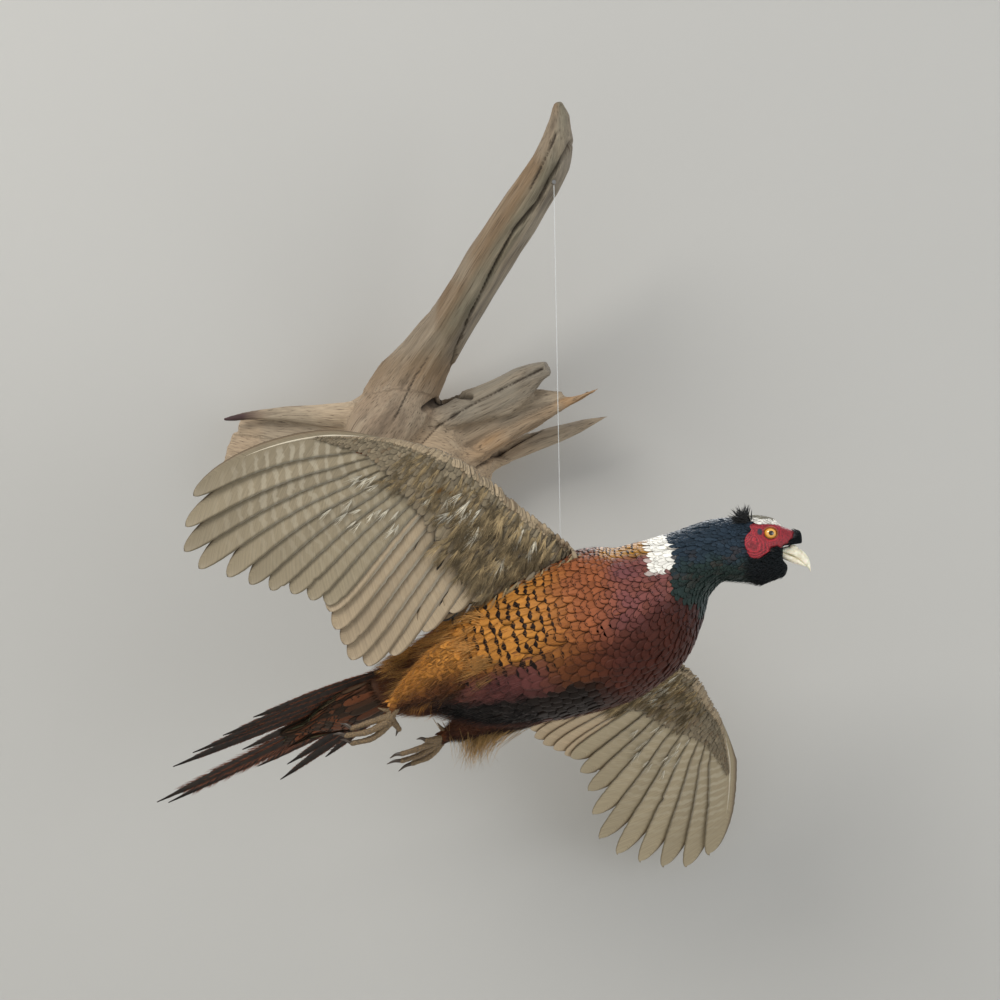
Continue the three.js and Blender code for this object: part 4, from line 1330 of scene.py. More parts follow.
class PHEASANT_OT_wattle(bpy.types.Operator):
    """Bare red skin round each eye, folded and covered in tiny papillae"""

    bl_idname = "pheasant.wattle"
    bl_label = "Wattles"

    def execute(self, context):
        parts = context.scene.pheasant_parts
        # Wattle: bare, blood-red skin, slightly moist, with painted shade in the troughs of its folds and
        # between its papillae.
        material, node, shader = new_material(
            "wattle_skin", **{"Roughness": 0.5, "Subsurface Weight": 0.15, "Subsurface Scale": 0.002}
        )
        form = node("Attribute", attribute_name="form").outputs["Vector"]
        split = node("SeparateXYZ", {0: form})
        here = node("TexCoord").outputs["Object"]
        papillae = node("TexVoronoi", {"Vector": here, "Scale": 950.0})
        patches = node("TexNoise", {"Vector": here, "Scale": 260.0, "Detail": 3.0})
        # Painted shade: the folds' troughs are darker red and their tops lighter, mixed with random patches.
        fold_light_and_patches = node(
            "Math", (patches, 0.5, node("Math", (split.outputs[0], 0.8), operation="MULTIPLY")),
            operation="MULTIPLY_ADD",
        )
        colour = node("Mix", {0: fold_light_and_patches, 6: rgba(linear("#6f0f1a")), 7: rgba(parts.wattle)}, data_type="RGBA")
        # Painted highlight and shade: each papilla is lighter at its middle and darker at its edge.
        papilla_shade = node("Math", (papillae, -0.9, 1.2), operation="MULTIPLY_ADD")
        colour = node("Mix", {0: 1.0, 6: colour, 7: papilla_shade}, data_type="RGBA", blend_type="MULTIPLY")
        colour = node("Mix", {0: split.outputs[1], 6: colour, 7: rgba(linear("#2b2a38"))}, data_type="RGBA")
        bump = node("Bump", {"Strength": 0.7, "Distance": 0.0004, "Height": papillae}, invert=True)
        wire(shader, {"Base Color": colour, "Normal": bump})
        skin = bpy.data.objects["skin"].data
        surface = BVHTree.FromPolygons(
            [tuple(v.co / MM) for v in skin.vertices], [tuple(p.vertices) for p in skin.polygons]
        )
        x, z = np.meshgrid(np.arange(264.4, 312, 0.55), np.arange(-127.5, -92.6, 0.55), indexing="ij")
        deep = wattle_depth(x, z)
        for side, way in (("right", -1), ("left", 1)):
            eye = EYES[side]
            top = np.full(x.shape + (3,), np.nan)
            for i, j in np.argwhere(deep > -0.9):
                start = Vector((x[i, j], HEAD_Y + 60 * way, z[i, j]))
                hit = surface.ray_cast(start, Vector((0, -way, 0)), 62)[0]
                if hit is not None:
                    top[i, j] = hit[:]
            from_eye = np.hypot(x - eye[0], (z - eye[2]) / 0.88)
            around = np.hypot(x - WATTLE_FOLDS[0], z - WATTLE_FOLDS[1])
            wobble = noise(np.stack([x * 0.16, z * 0.16, x * 0], -1).reshape(-1, 3), 7).reshape(x.shape)
            fold = 0.5 + 0.5 * np.cos(around * 2 * math.pi / 2.7 + 6.5 * wobble)
            fold = fold * (1 - 0.6 * smoothstep(around, 12, 17))
            round_eye = 0.5 + 0.5 * np.cos((from_eye - 7.2) * 2 * math.pi / 2.4)
            fold = np.where(from_eye < 9.5, np.maximum(round_eye, 0.5 * fold), fold)
            rise = 2.3 * smoothstep(deep, -0.2, 2.2) * (1 - 0.45 * smoothstep(-from_eye, -8.5, -5.5))
            puff = 1.1 * smoothstep(-around, -13, -2)
            top[..., 1] += way * (
                rise + puff * smoothstep(deep, 0, 5) + 0.55 * (fold - 0.4) * smoothstep(deep, 0.4, 2)
            )
            kept = (deep > -0.3) & (from_eye > 5.2) & ~np.isnan(top[..., 1])
            cell = kept[:-1, :-1] & kept[1:, :-1] & kept[1:, 1:] & kept[:-1, 1:]
            grid = np.arange(x.size).reshape(x.shape)
            quads = np.stack([grid[:-1, :-1], grid[1:, :-1], grid[1:, 1:], grid[:-1, 1:]], -1)[cell]
            if way == 1:
                quads = quads[:, ::-1]
            used, local = np.unique(quads, return_inverse=True)
            dot = np.hypot((x - 280.3) / 2.4, (z + 101.9) / 3.0)
            form = np.stack([fold, 1 - smoothstep(dot, 0.75, 1.1), x * 0], -1)
            flat = np.stack([(x - 262) / 52, (z + 129) / 52], -1)
            piece = mesh_piece(
                f"wattle_{side}", top.reshape(-1, 3)[used], [local.reshape(-1, 4)], [material],
                {"form": form.reshape(-1, 3)[used]}, {"face": flat.reshape(-1, 2)[used]},
            )
            shell = piece.modifiers.new("shell", "SOLIDIFY")
            shell.thickness = 1.4 * MM
            shell.offset = -1
            finish_piece(piece, None)
        return {"FINISHED"}


class PHEASANT_OT_eyes(bpy.types.Operator):
    """Glass eyes with their lids"""

    bl_idname = "pheasant.eyes"
    bl_label = "Eyes"

    def execute(self, context):
        parts = context.scene.pheasant_parts
        # Glass eye: painted iris under a clear polished dome.
        sockets = {"Roughness": 0.12, "Coat Weight": 1.0, "Coat Roughness": 0.02, "IOR": 1.5}
        material, node, shader = new_material("glass_eye", **sockets)
        ring = node("Attribute", attribute_name="ring").outputs["Fac"]
        here = node("TexCoord").outputs["Object"]
        streak = node("TexNoise", {"Vector": here, "Scale": 900.0})
        iris = node("Mix", {0: streak, 6: rgba(parts.iris), 7: rgba(linear("#f0bd66"))}, data_type="RGBA")
        gold = node("MapRange", {0: ring, 1: 0.62, 2: 0.8})
        rim = node("MapRange", {0: ring, 1: 0.88, 2: 0.95})
        pupil = node("MapRange", {0: ring, 1: 0.40, 2: 0.35})
        colour = node("Mix", {0: gold, 6: iris, 7: rgba(linear("#c98a1c"))}, data_type="RGBA")
        colour = node("Mix", {0: rim, 6: colour, 7: rgba(linear("#3a1408"))}, data_type="RGBA")
        colour = node("Mix", {0: pupil, 6: colour, 7: rgba(linear("#1a0f08"))}, data_type="RGBA")
        wire(shader, {"Base Color": colour})
        # Eyelid: thin leathery skin, clouded from dark red to ochre.
        lid_skin = clouded_material(
            "eyelid_skin", 700.0, linear("#5a1a12"), linear("#a0521c"), Roughness=0.45
        )[0]
        for side, centre in EYES.items():
            way = -1 if side == "right" else 1
            out = Vector((0.1, way, 0.08)).normalized()
            turn = out.to_track_quat("Z", "Y").to_matrix()
            bm = bmesh.new()
            bmesh.ops.create_uvsphere(bm, u_segments=40, v_segments=30, radius=EYE_RADIUS)
            layer = bm.verts.layers.float.new("ring")
            for vertex in bm.verts:
                facing = vertex.co.z / EYE_RADIUS
                vertex[layer] = math.sqrt(max(0, 1 - facing**2)) if facing > 0 else 1.0
            bmesh.ops.rotate(bm, cent=(0, 0, 0), matrix=turn, verts=bm.verts)
            bmesh.ops.scale(bm, vec=(1, 1, EYE_TALL), verts=bm.verts)
            bmesh.ops.translate(bm, vec=centre, verts=bm.verts)
            finish_piece(bm_piece(f"glass_eye_{side}", bm, [material]), "glass_eye", f"eye_{side}")
            rings = []
            for a in np.linspace(0, 2 * math.pi, 36, endpoint=False):
                spoke = np.array((math.cos(a), 0, EYE_TALL * math.sin(a)))
                lid = 0.75 + 0.35 * max(0, math.sin(a))
                middle = np.array(centre) + spoke * 5.75 + (0.6 * math.cos(a), way * 2.6, 0)
                rings.append([
                    middle + (spoke * math.cos(b) + np.array((0, way, 0)) * math.sin(b) * 1.2) * lid
                    for b in np.linspace(0, 2 * math.pi, 10, endpoint=False)
                ])
            count = len(rings)
            grid = np.arange(count * 10).reshape(count, 10)
            ahead, above = np.roll(grid, -1, axis=0), np.roll(grid, -1, axis=1)
            quads = np.stack([grid, ahead, np.roll(ahead, -1, axis=1), above], -1).reshape(-1, 4)
            if way == 1:
                quads = quads[:, ::-1]
            lid_piece = mesh_piece(f"eyelid_{side}", np.concatenate(rings), [quads], [lid_skin])
            finish_piece(lid_piece, None)
        return {"FINISHED"}


class PHEASANT_OT_bill(bpy.types.Operator):
    """Upper and lower bill with the pale flaps over the nostrils"""

    bl_idname = "pheasant.bill"
    bl_label = "Bill"

    def execute(self, context):
        parts = context.scene.pheasant_parts
        # Bill horn: dense keratin, satin, with faint growth lines along it.
        sockets = {"Roughness": 0.38, "Subsurface Weight": 0.1, "Subsurface Scale": 0.002}
        material, node, shader = new_material("bill_horn", **sockets)
        here = node("TexCoord").outputs["Object"]
        lines = node("TexNoise", {"Vector": here, "Scale": 260.0, "Detail": 3.0})
        dust = node("MapRange", {0: lines, 1: 0.45, 2: 0.75})
        dust = node("Mix", {0: dust, 6: rgba(parts.bill), 7: rgba(linear("#cfc6a6"))}, data_type="RGBA")
        bump = node("Bump", {"Strength": 0.15, "Distance": 0.0003, "Height": lines})
        wire(shader, {"Base Color": dust, "Normal": bump})
        around = np.linspace(0, 2 * math.pi, 24, endpoint=False)
        for name, stations, flat_side in (("bill_upper", BILL_UPPER, -1), ("bill_lower", BILL_LOWER, 1)):
            stations = np.array(stations, float)
            share = np.linspace(0, 1, 30)
            edges = spline(stations[:, :3], share)
            width = spline(stations[:, [0, 3, 3]], share)[:, 1]
            rings = []
            for (x, top, bottom), half in zip(edges, width):
                lift = np.cos(around)
                blunt = np.where(lift * flat_side > 0, 0.45, 1.0)
                height = np.sign(lift) * np.abs(lift) ** blunt * (top - bottom) / 2 + (top + bottom) / 2
                side = np.sign(np.sin(around)) * np.abs(np.sin(around)) ** 0.8 * half
                rings.append(np.stack([np.full(24, x), side + HEAD_Y, height], -1))
            tip = rings[-1].mean(axis=0)
            rings.append(tip + (rings[-1] - tip) * 0.4 + (0.2, 0, -0.25))
            bm = bmesh.new()
            add_tube(bm, rings)
            if name == "bill_upper":
                for way in (-1, 1):
                    flap = bmesh.ops.create_uvsphere(bm, u_segments=16, v_segments=10, radius=1)["verts"]
                    bmesh.ops.scale(bm, vec=(3.6, 1.7, 1.9), verts=flap)
                    bmesh.ops.rotate(
                        bm, cent=(0, 0, 0), matrix=Matrix.Rotation(math.radians(22), 3, "Y"), verts=flap
                    )
                    bmesh.ops.translate(bm, vec=(310.8, HEAD_Y + 5.4 * way, -115.2), verts=flap)
            finish_piece(bm_piece(name, bm, [material]), "bill_horn", name)
        return {"FINISHED"}


# ---- Loose plumes -----------------------------------------------------------------------------------------


def strand_lines(roots, headings, ups, lengths, rng, lift, curl, stations=5):
    """Strands from roots along headings, lifting off the coat and bending back to it."""
    v = np.linspace(0, 1, stations)[None, :, None]
    side = unit(np.cross(headings, ups))
    sway = rng.normal(0, curl, len(roots))[:, None, None]
    reach = lengths[:, None, None]
    out = headings[:, None] * v + ups[:, None] * (lift * (1.6 * v - v**2)) + side[:, None] * (sway * v**2)
    return roots[:, None] + out * reach


def thigh_tones(dye, side, ups, rng):
    """Gold over the right thigh and dark red-brown over the left one, darkest below; the left one's dark is
    partly painted shade.
    """
    n = len(ups)
    dark = np.repeat(np.array(dye.vent)[None], n, axis=0)
    tone = blend(dark, dye.gold, smoothstep(ups[:, 2], -0.55, 0.35) * (0.95 if side == "right" else 0.08))
    tone = blend(tone, dye.mahogany_and_shade, np.full(n, 0.0 if side == "right" else 0.6))
    tone = blend(tone, dye.belly, smoothstep(-ups[:, 2], 0.45, 0.9) * 0.7)
    return tone * rng.uniform(0.5, 1.7, (n, 1))


class PHEASANT_OT_plumes(bpy.types.Operator):
    """Loose hair-like barbs over the flanks, thighs, vent and breast, and the black ear tufts"""

    bl_idname = "pheasant.plumes"
    bl_label = "Loose plumes"

    def execute(self, context):
        rng = np.random.default_rng(51)
        dye = context.scene.pheasant_plumage
        # Loose barbs: downy, matt, light catching along their edges.
        sockets = {"Roughness": 0.6, "Specular IOR Level": 0.2, "Sheen Weight": 0.05}
        material, node, shader = new_material("loose_barb", **sockets)
        tone = node("Attribute", attribute_name="tone")
        here = node("TexCoord").outputs["Object"]
        cloud = node("TexNoise", {"Vector": here, "Scale": 300.0})
        shade = node("Math", (cloud, 0.8, 0.6), operation="MULTIPLY_ADD")
        worn = node("Mix", {0: 1.0, 6: tone, 7: shade}, data_type="RGBA", blend_type="MULTIPLY")
        wire(shader, {"Base Color": worn})

        coat = Coat()
        tube = BODY_TUBE
        groups = (  # stations, height round from the belly's middle, count, lengths, width, brightness
            ((0.5, 2.3), (36, 116), 2600, (8, 15), 0.34, (0.6, 1.9)),
            ((2.2, 3.9), (36, 116), 1300, (7, 12), 0.28, (0.6, 1.6)),
            ((3.6, 6.2), (24, 112), 3400, (4.5, 8), 0.24, (0.6, 1.5)),
            ((0.0, 2.8), (0, 42), 2400, (9, 17), 0.4, (0.5, 1.8)),
            ((0.0, 0.9), (30, 180), 1200, (12, 20), 0.45, (0.5, 1.4)),
        )
        for (low, high), (near, far), count, reach, width, light in groups:
            s = rng.uniform(low, high, count)
            turn = rng.choice((-1, 1), count) * (180 - rng.uniform(near, far, count))
            phi = np.radians(turn)
            t = s / LAST
            roots = tube.at(t, phi, np.full(count, 0.9))
            forward = tube.section(t)[1]
            ups = tube.normal(t, phi)
            lines = strand_lines(roots, -forward, ups, rng.uniform(*reach, count), rng, 0.13, 0.16, 4)
            tones, _ = plumage(s, phi)
            tones = tones * rng.uniform(*light, (count, 1))
            homes = homes_on(tube, tube.mm_at(t), phi)
            coat.add_strands(lines, rng.uniform(0.7, 1.3, count) * width, homes, tones, ups[:, None])
        finish_piece(coat.piece("plumes_body", [material]), "body_plumage")
        # Golden wisps in tufts over the rear of the flank.
        coat = Coat()
        tufts, barbs = 250, 12
        count = tufts * barbs
        s = np.repeat(rng.uniform(0.45, 2.5, tufts), barbs)
        side = rng.choice((-1, 1), tufts)
        turn = np.repeat(side * (180 - rng.uniform(np.where(side > 0, 66, 34), 108)), barbs)
        phi = np.radians(turn + rng.normal(0, 2, count))
        t = (s + rng.normal(0, 0.05, count)) / LAST
        roots = tube.at(t, phi, np.full(count, 0.5))
        forward = tube.section(t)[1]
        ups = tube.normal(t, phi)
        bend = rng.uniform(-1, 1, count) * 0.22 + np.repeat(rng.normal(-0.05, 0.25, tufts), barbs)
        heading = unit(-forward + np.cross(ups, forward) * bend[:, None])
        lines = strand_lines(roots, heading, ups, rng.uniform(12, 22, count), rng, 0.2, 0.12)
        pale = (np.array(dye.gold) + linear("#c69a5a")) / 2
        tones = pale[None] * np.repeat(rng.uniform(0.5, 1.35, (tufts, 1)), barbs, axis=0)
        homes = homes_on(tube, tube.mm_at(t), phi)
        coat.add_strands(lines, rng.uniform(0.45, 0.75, count), homes, tones, ups[:, None])
        finish_piece(coat.piece("plumes_flank", [material]), "body_plumage")

        coat = Coat()
        for side, tube in THIGH_TUBES.items():
            count = 2600
            t, phi = rng.uniform(0.05, 0.95, count), rng.uniform(-math.pi, math.pi, count)
            roots = tube.at(t, phi, np.full(count, 1.5))
            forward = tube.section(t)[1]
            ups = tube.normal(t, phi)
            lines = strand_lines(
                roots, forward, ups, rng.uniform(8, 15, count) * (1.2 - 0.5 * t), rng, 0.16, 0.2, 4
            )
            tones = thigh_tones(dye, side, ups, rng)
            homes = np.stack([t * 0.5, 0.5 + phi / 7], -1)
            coat.add_strands(lines, rng.uniform(0.35, 0.6, count), homes, tones, ups[:, None])
            tuft = np.array(THIGHS[side]["tuft"], float)
            count = 620
            start = tuft[0] + rng.normal(0, 1, (count, 3)) * (8 if side == "right" else 14, 5, 3.5)
            heading = unit(tuft[-1] - start + rng.normal(0, 1, (count, 3)) * (7, 3, 4))
            heading = heading + np.array((-0.25, 0, 0)) * rng.random((count, 1))
            ups = np.repeat(np.array([[0.1, -1.0, 0.1]]), count, axis=0)
            reach = np.linalg.norm(tuft[-1] - tuft[0]) * rng.uniform(0.45, 1.05, count)
            lines = strand_lines(start, unit(heading), ups, reach, rng, 0.12, 0.12)
            pale = np.array(dye.gold if side == "right" else linear("#a98650"))
            tones = pale[None] * rng.uniform(0.45, 1.5, (count, 1))
            homes = np.repeat([[0.3, 0.5]], count, axis=0) + rng.uniform(-0.05, 0.05, (count, 2))
            coat.add_strands(lines, rng.uniform(0.35, 0.6, count), homes, tones, ups[:, None])
        finish_piece(coat.piece("plumes_thighs", [material]), "body_plumage")

        coat = Coat()
        for side, base in EAR_TUFTS.items():
            count = 95
            spread = np.radians(rng.choice(rng.uniform(72, 190, 16), count) + rng.normal(0, 4, count))
            heading = np.stack([np.cos(spread), rng.normal(0, 0.25, count), np.sin(spread)], -1)
            start = np.array(base, float) + rng.normal(0, 1, (count, 3)) * (2.0, 1.3, 1.0)
            ups = np.repeat(np.array([[0.0, -1.0 if side == "right" else 1.0, 0.2]]), count, axis=0)
            lines = strand_lines(start, unit(heading), ups, rng.uniform(8.5, 14.5, count), rng, 0.1, 0.07)
            tones = np.array(linear("#0d0f0f"))[None] * rng.uniform(0.6, 2.2, (count, 1))
            homes = np.repeat([[0.8, 0.5]], count, axis=0) + rng.uniform(-0.03, 0.03, (count, 2))
            coat.add_strands(lines, rng.uniform(0.9, 1.7, count), homes, tones, ups[:, None])
        # The chin's short beard of black barbs.
        count = 900
        s, phi = rng.uniform(9.6, 12.2, count), np.radians(180 + rng.normal(0, 42, count))
        tube = BODY_TUBE
        roots = clear_of_bill(tube.at(s / LAST, phi, np.full(count, 0.5)))
        forward = tube.section(s / LAST)[1]
        ups = tube.normal(s / LAST, phi)
        lines = strand_lines(
            roots, unit(-forward + ups * 0.5), ups, rng.uniform(2.5, 5.0, count), rng, 0.1, 0.25
        )
        tones = np.array(dye.throat)[None] * rng.uniform(0.6, 2.5, (count, 1))
        homes = homes_on(tube, tube.mm_at(s / LAST), phi - 2 * math.pi * (phi > math.pi))
        coat.add_strands(lines, rng.uniform(0.3, 0.5, count), homes, tones, ups[:, None])
        # Fine barbs over the neck break the hackles' edges.
        count = 2600
        s, phi = rng.uniform(6.5, 10.0, count), rng.uniform(-math.pi, math.pi, count)
        roots = tube.at(s / LAST, phi, np.full(count, 0.4))
        forward = tube.section(s / LAST)[1]
        ups = tube.normal(s / LAST, phi)
        lines = strand_lines(roots, -forward, ups, rng.uniform(4, 7, count), rng, 0.1, 0.14, 4)
        tones = plumage(s - 0.2, phi)[0] * rng.uniform(0.6, 1.9, (count, 1))
        homes = homes_on(tube, tube.mm_at(s / LAST), phi)
        coat.add_strands(lines, rng.uniform(0.2, 0.32, count), homes, tones, ups[:, None])
        finish_piece(
            coat.piece("plumes_head", [material]), "neck_plumage", "ear_tuft_right", "ear_tuft_left"
        )
        return {"FINISHED"}


class PHEASANT_OT_thigh_coat(bpy.types.Operator):
    """Soft feathers of the thighs and round the tail's root"""

    bl_idname = "pheasant.thigh_coat"
    bl_label = "Thighs and tail root"

    def execute(self, context):
        rng = np.random.default_rng(52)
        dye = context.scene.pheasant_plumage
        material = feather_material(
            "thigh_feather", 0.6, 12.0, 0.08, (0.8, 0.5, 0.3), (1.0, 0.85, 0.7), 0.05
        )
        plan = PLANS["middle"]
        coat = Coat()
        forms = [(side, t["line"], t["sizes"], 15, 5.5) for side, t in THIGHS.items()]
        forms.append(("tail", TAIL_LINE, TAIL_SIZES, 34, 9))
        for kind, line, sizes, reach, gap in forms:
            tube = Tube(line[::-1], sizes[::-1], DORSAL)
            end = tube.length * (1.0 if kind != "tail" else 0.99)
            along, phi = ring_layout(tube, gap, end, lambda t: gap * 0.75, lambda t: 12 + 14 * t)
            n = len(along)
            lengths = rng.uniform(0.85, 1.25, n) * reach
            t = tube.t_at(along)
            widths = np.maximum(tube.girth(t) / (12 + 14 * t) * 1.6, 3.0) * rng.uniform(0.9, 1.2, n)
            depth = np.full(n, 3.0)
            lines, normals = tube_lines(
                tube, along, phi, lengths, plan[4], depth, (0.4, 1.1), rng.normal(0, 0.06, n)
            )
            ups = normals[:, 0]
            if kind == "tail":
                above = smoothstep((ups * DORSAL).sum(-1), -0.1, 0.4)
                below = blend(
                    np.repeat(np.array(dye.tail_dark)[None] * 1.2, n, axis=0), dye.tail_rust,
                    0.7 * rng.random(n) ** 2,
                )
                tone = blend(below, dye.back, above) * rng.uniform(0.7, 1.3, (n, 1))
            else:
                tone = thigh_tones(dye, kind, ups, rng) * 0.85
            marks = np.zeros((n, 4))
            marks[:, 0] = 0.12 if kind == "tail" else 0
            homes = np.stack([0.02 + 0.9 * t, 0.5 + phi / 7], -1)
            coat.add_vanes(lines, normals, widths, plan, homes, tone, marks, cup=0.1, thick=0.2)
        finish_piece(coat.piece("coat_thighs", [material]), "body_plumage", "tail_coverts")
        return {"FINISHED"}


class PHEASANT_OT_axillaries(bpy.types.Operator):
    """Fluffy feathers under each wing beside the body, with white wisps over the inner primaries"""

    bl_idname = "pheasant.axillaries"
    bl_label = "Axillaries and wisps"

    def execute(self, context):
        rng = np.random.default_rng(53)
        dye = context.scene.pheasant_plumage
        for name, wing in WING.items():
            coat = Coat()
            surface = wing_surface(name)
            down = np.array(dye.under_grey) * (0.8, 0.73, 0.6)
            white = np.array(dye.wing_edge) * 0.85
            ochre = np.array(dye.mantle)
            # Part, run along it, share of chord, tufts, barbs in each, length, width, colour, light, fan.
            groups = (
                ("arm", (0.0, 0.8), (0.03, 0.8), 300, 18, (13, 24), 0.55, down, (0.4, 1.75), 0.16),
                ("arm", (0.6, 1.0), (0.03, 0.6), 120, 14, (8, 15), 0.45, down, (0.45, 1.6), 0.2),
                ("hand_coverts", (0.0, 0.3), (0.05, 0.55), 60, 12, (8, 14), 0.4, down, (0.5, 1.6), 0.2),
                ("arm", (0.35, 0.98), (0.05, 0.5), 26, 14, (10, 20), 0.5, white, (0.7, 1.1), 0.25),
                ("hand_coverts", (0.02, 0.5), (0.5, 1.2), 18, 7, (9, 16), 0.6, white, (0.8, 1.15), 0.24),
                ("arm", (0.86, 1.0), (0.16, 0.32), 4, 14, (6, 10), 0.45, ochre, (0.3, 0.6), 0.3),
            )
            for group in groups:
                self.fluff(coat, wing, surface, rng, *group)
            finish_piece(
                coat.piece(f"axillaries_{name}", [bpy.data.materials["loose_barb"]]), "wing_plumage"
            )
        return {"FINISHED"}

    def fluff(
        self, coat, wing, surface, rng, part, run, chord, tufts, barbs, reach, width, tone, light, fan
    ):
        t = np.repeat(rng.uniform(*run, tufts), barbs)
        share = np.repeat(rng.uniform(*chord, tufts), barbs)
        count = len(t)
        leads, trails, _ = wing.stations(part, np.clip(t, 0, 1))
        roots = leads + (trails - leads) * share[:, None]
        roots = roots + np.repeat(rng.normal(0, 1, (tufts, 3)), barbs, axis=0) * (1, 0, 1)
        bend = rng.uniform(-1, 1, count)
        angle = wing.angle(part, t) + np.repeat(rng.normal(0, 0.18, tufts), barbs) + bend * fan
        heading = np.stack([np.cos(angle), np.zeros(count), np.sin(angle)], -1)
        roots = roots + heading * rng.uniform(0, 3, (count, 1))
        reach = np.repeat(
            rng.uniform(*reach, tufts), barbs
        ) * (1.05 - 0.3 * bend**2) * rng.uniform(0.85, 1.1, count)
        places = []
        for point in roots:
            start = Vector(wing.place(point * (1, 0, 1) + (0, -PROBE, 0)))
            hit = surface.ray_cast(start, Vector(wing.axes[:, 1]), 2 * PROBE)[0]
            low = -2.0 if hit is None else float(wing.local(np.array(hit))[1])
            places.append((point[0], low - 1.6, point[2]))
        ups = np.repeat(np.array([[0, -1.0, 0]]), count, axis=0)
        lines = strand_lines(np.array(places), heading, ups, reach, rng, 0.16, 0.12 if barbs > 4 else 0.4, 4)
        place = wing.place(lines.reshape(-1, 3)).reshape(lines.shape)
        glow = np.repeat(rng.uniform(*light, tufts), barbs) * rng.uniform(0.7, 1.25, count)
        tones = tone[None] * glow[:, None]
        homes = np.stack([0.01 + 0.96 * np.clip(t, 0, 1), 0.05 + 0.8 * np.clip(share, 0, 1)], -1)
        across = np.repeat((wing.axes[:, 1] * -1)[None, None], count, axis=0)
        coat.add_strands(place, rng.uniform(0.7, 1.3, count) * width, homes, tones, across)


# ---- Wings ------------------------------------------------------------------------------------------------


def vane_share(t):
    """A flight vane's width along its length, as a share of its full width."""
    return np.minimum(0.3 + 2.2 * t, 1) * np.sqrt(np.maximum(1 - t**7, 0.004))


def flight_material(name, above):
    """Flight feathers: fine slanting barbs, paler bars on the inner vane and worn pale margins."""
    dye = bpy.context.scene.pheasant_plumage
    sockets = {"Roughness": 0.5, "Specular IOR Level": 0.3, "Sheen Weight": 0.05, "Sheen Roughness": 0.4}
    material, node, shader = new_material(name, **sockets)
    tone = node("Attribute", attribute_name="tone")
    marks = node("Attribute", attribute_name="marks")
    split = node("SeparateColor", {"Color": marks})
    across, off, v = vane_axes(node)
    barb = node("Math", (off, -1.0, node("Math", (v, 11.0), operation="MULTIPLY")), operation="MULTIPLY_ADD")
    place = node(
        "CombineXYZ",
        {
            0: node("Math", (barb, 15.0), operation="MULTIPLY"),
            1: node("Math", (across, 1.2), operation="MULTIPLY"),
        },
    )
    here = node("TexCoord").outputs["Object"]
    shifted = node("VectorMath", {0: here, 1: (9.0, 9.0, 9.0), 2: place}, operation="MULTIPLY_ADD")
    grain = node("TexNoise", {"Vector": shifted, "Scale": 1.0, "Detail": 3.0})
    shade = node("Math", (grain, 0.62, 0.68), operation="MULTIPLY_ADD")
    worn = node("Mix", {0: 1.0, 6: tone, 7: shade}, data_type="RGBA", blend_type="MULTIPLY")
    wave = node(
        "Math", (off, -2.2, node("Math", (v, 110.0), operation="MULTIPLY")), operation="MULTIPLY_ADD"
    )
    wobble = node("TexNoise", {"Vector": here, "Scale": 120.0})
    wave = node("Math", (node("Math", (wobble, 6.0), operation="MULTIPLY"), wave), operation="ADD")
    bars = node("MapRange", {0: node("Math", (wave,), operation="SINE"), 1: 0.05, 2: 0.75})
    inner = node("MapRange", {0: across, 1: 0.05, 2: 0.3})
    span = node("MapRange", {0: v, 1: 0.92, 2: 0.6})
    bars = node(
        "Math", (node("Math", (bars, split.outputs[0]), operation="MULTIPLY"), inner), operation="MULTIPLY"
    )
    bars = node("Math", (bars, span), operation="MULTIPLY") if not above else bars
    pale = rgba(dye.wing_sandy) if above else rgba(dye.wing_edge)
    worn = node("Mix", {0: bars, 6: worn, 7: pale}, data_type="RGBA")
    outer = node("MapRange", {0: across, 1: -0.12, 2: -0.3})
    worn = node(
        "Mix",
        {0: node("Math", (outer, split.outputs[1]), operation="MULTIPLY"), 6: worn, 7: rgba(dye.wing_upper)},
        data_type="RGBA",
    )
    margin = node("MapRange", {0: off, 1: 0.86, 2: 0.98})
    worn = node(
        "Mix",
        {0: node("Math", (margin, split.outputs[2]), operation="MULTIPLY"), 6: worn, 7: rgba(dye.wing_edge)},
        data_type="RGBA",
    )
    bump = node("Bump", {"Strength": 0.45, "Distance": 0.0004, "Height": grain})
    wire(shader, {"Base Color": worn, "Normal": bump})
    return material


FLIGHT_COLUMNS = 20  # strips of the unwrap, one for each flight feather
PROBE = 120  # how far off a wing's plane the search for its surface starts, in mm


def quill_material():
    """Shaft: translucent horn, smooth and a little glossy, cream to straw."""
    dye = bpy.context.scene.pheasant_plumage
    return clouded_material("quill_horn", 60.0, dye.wing_edge, dye.under_buff, Roughness=0.35)[0]


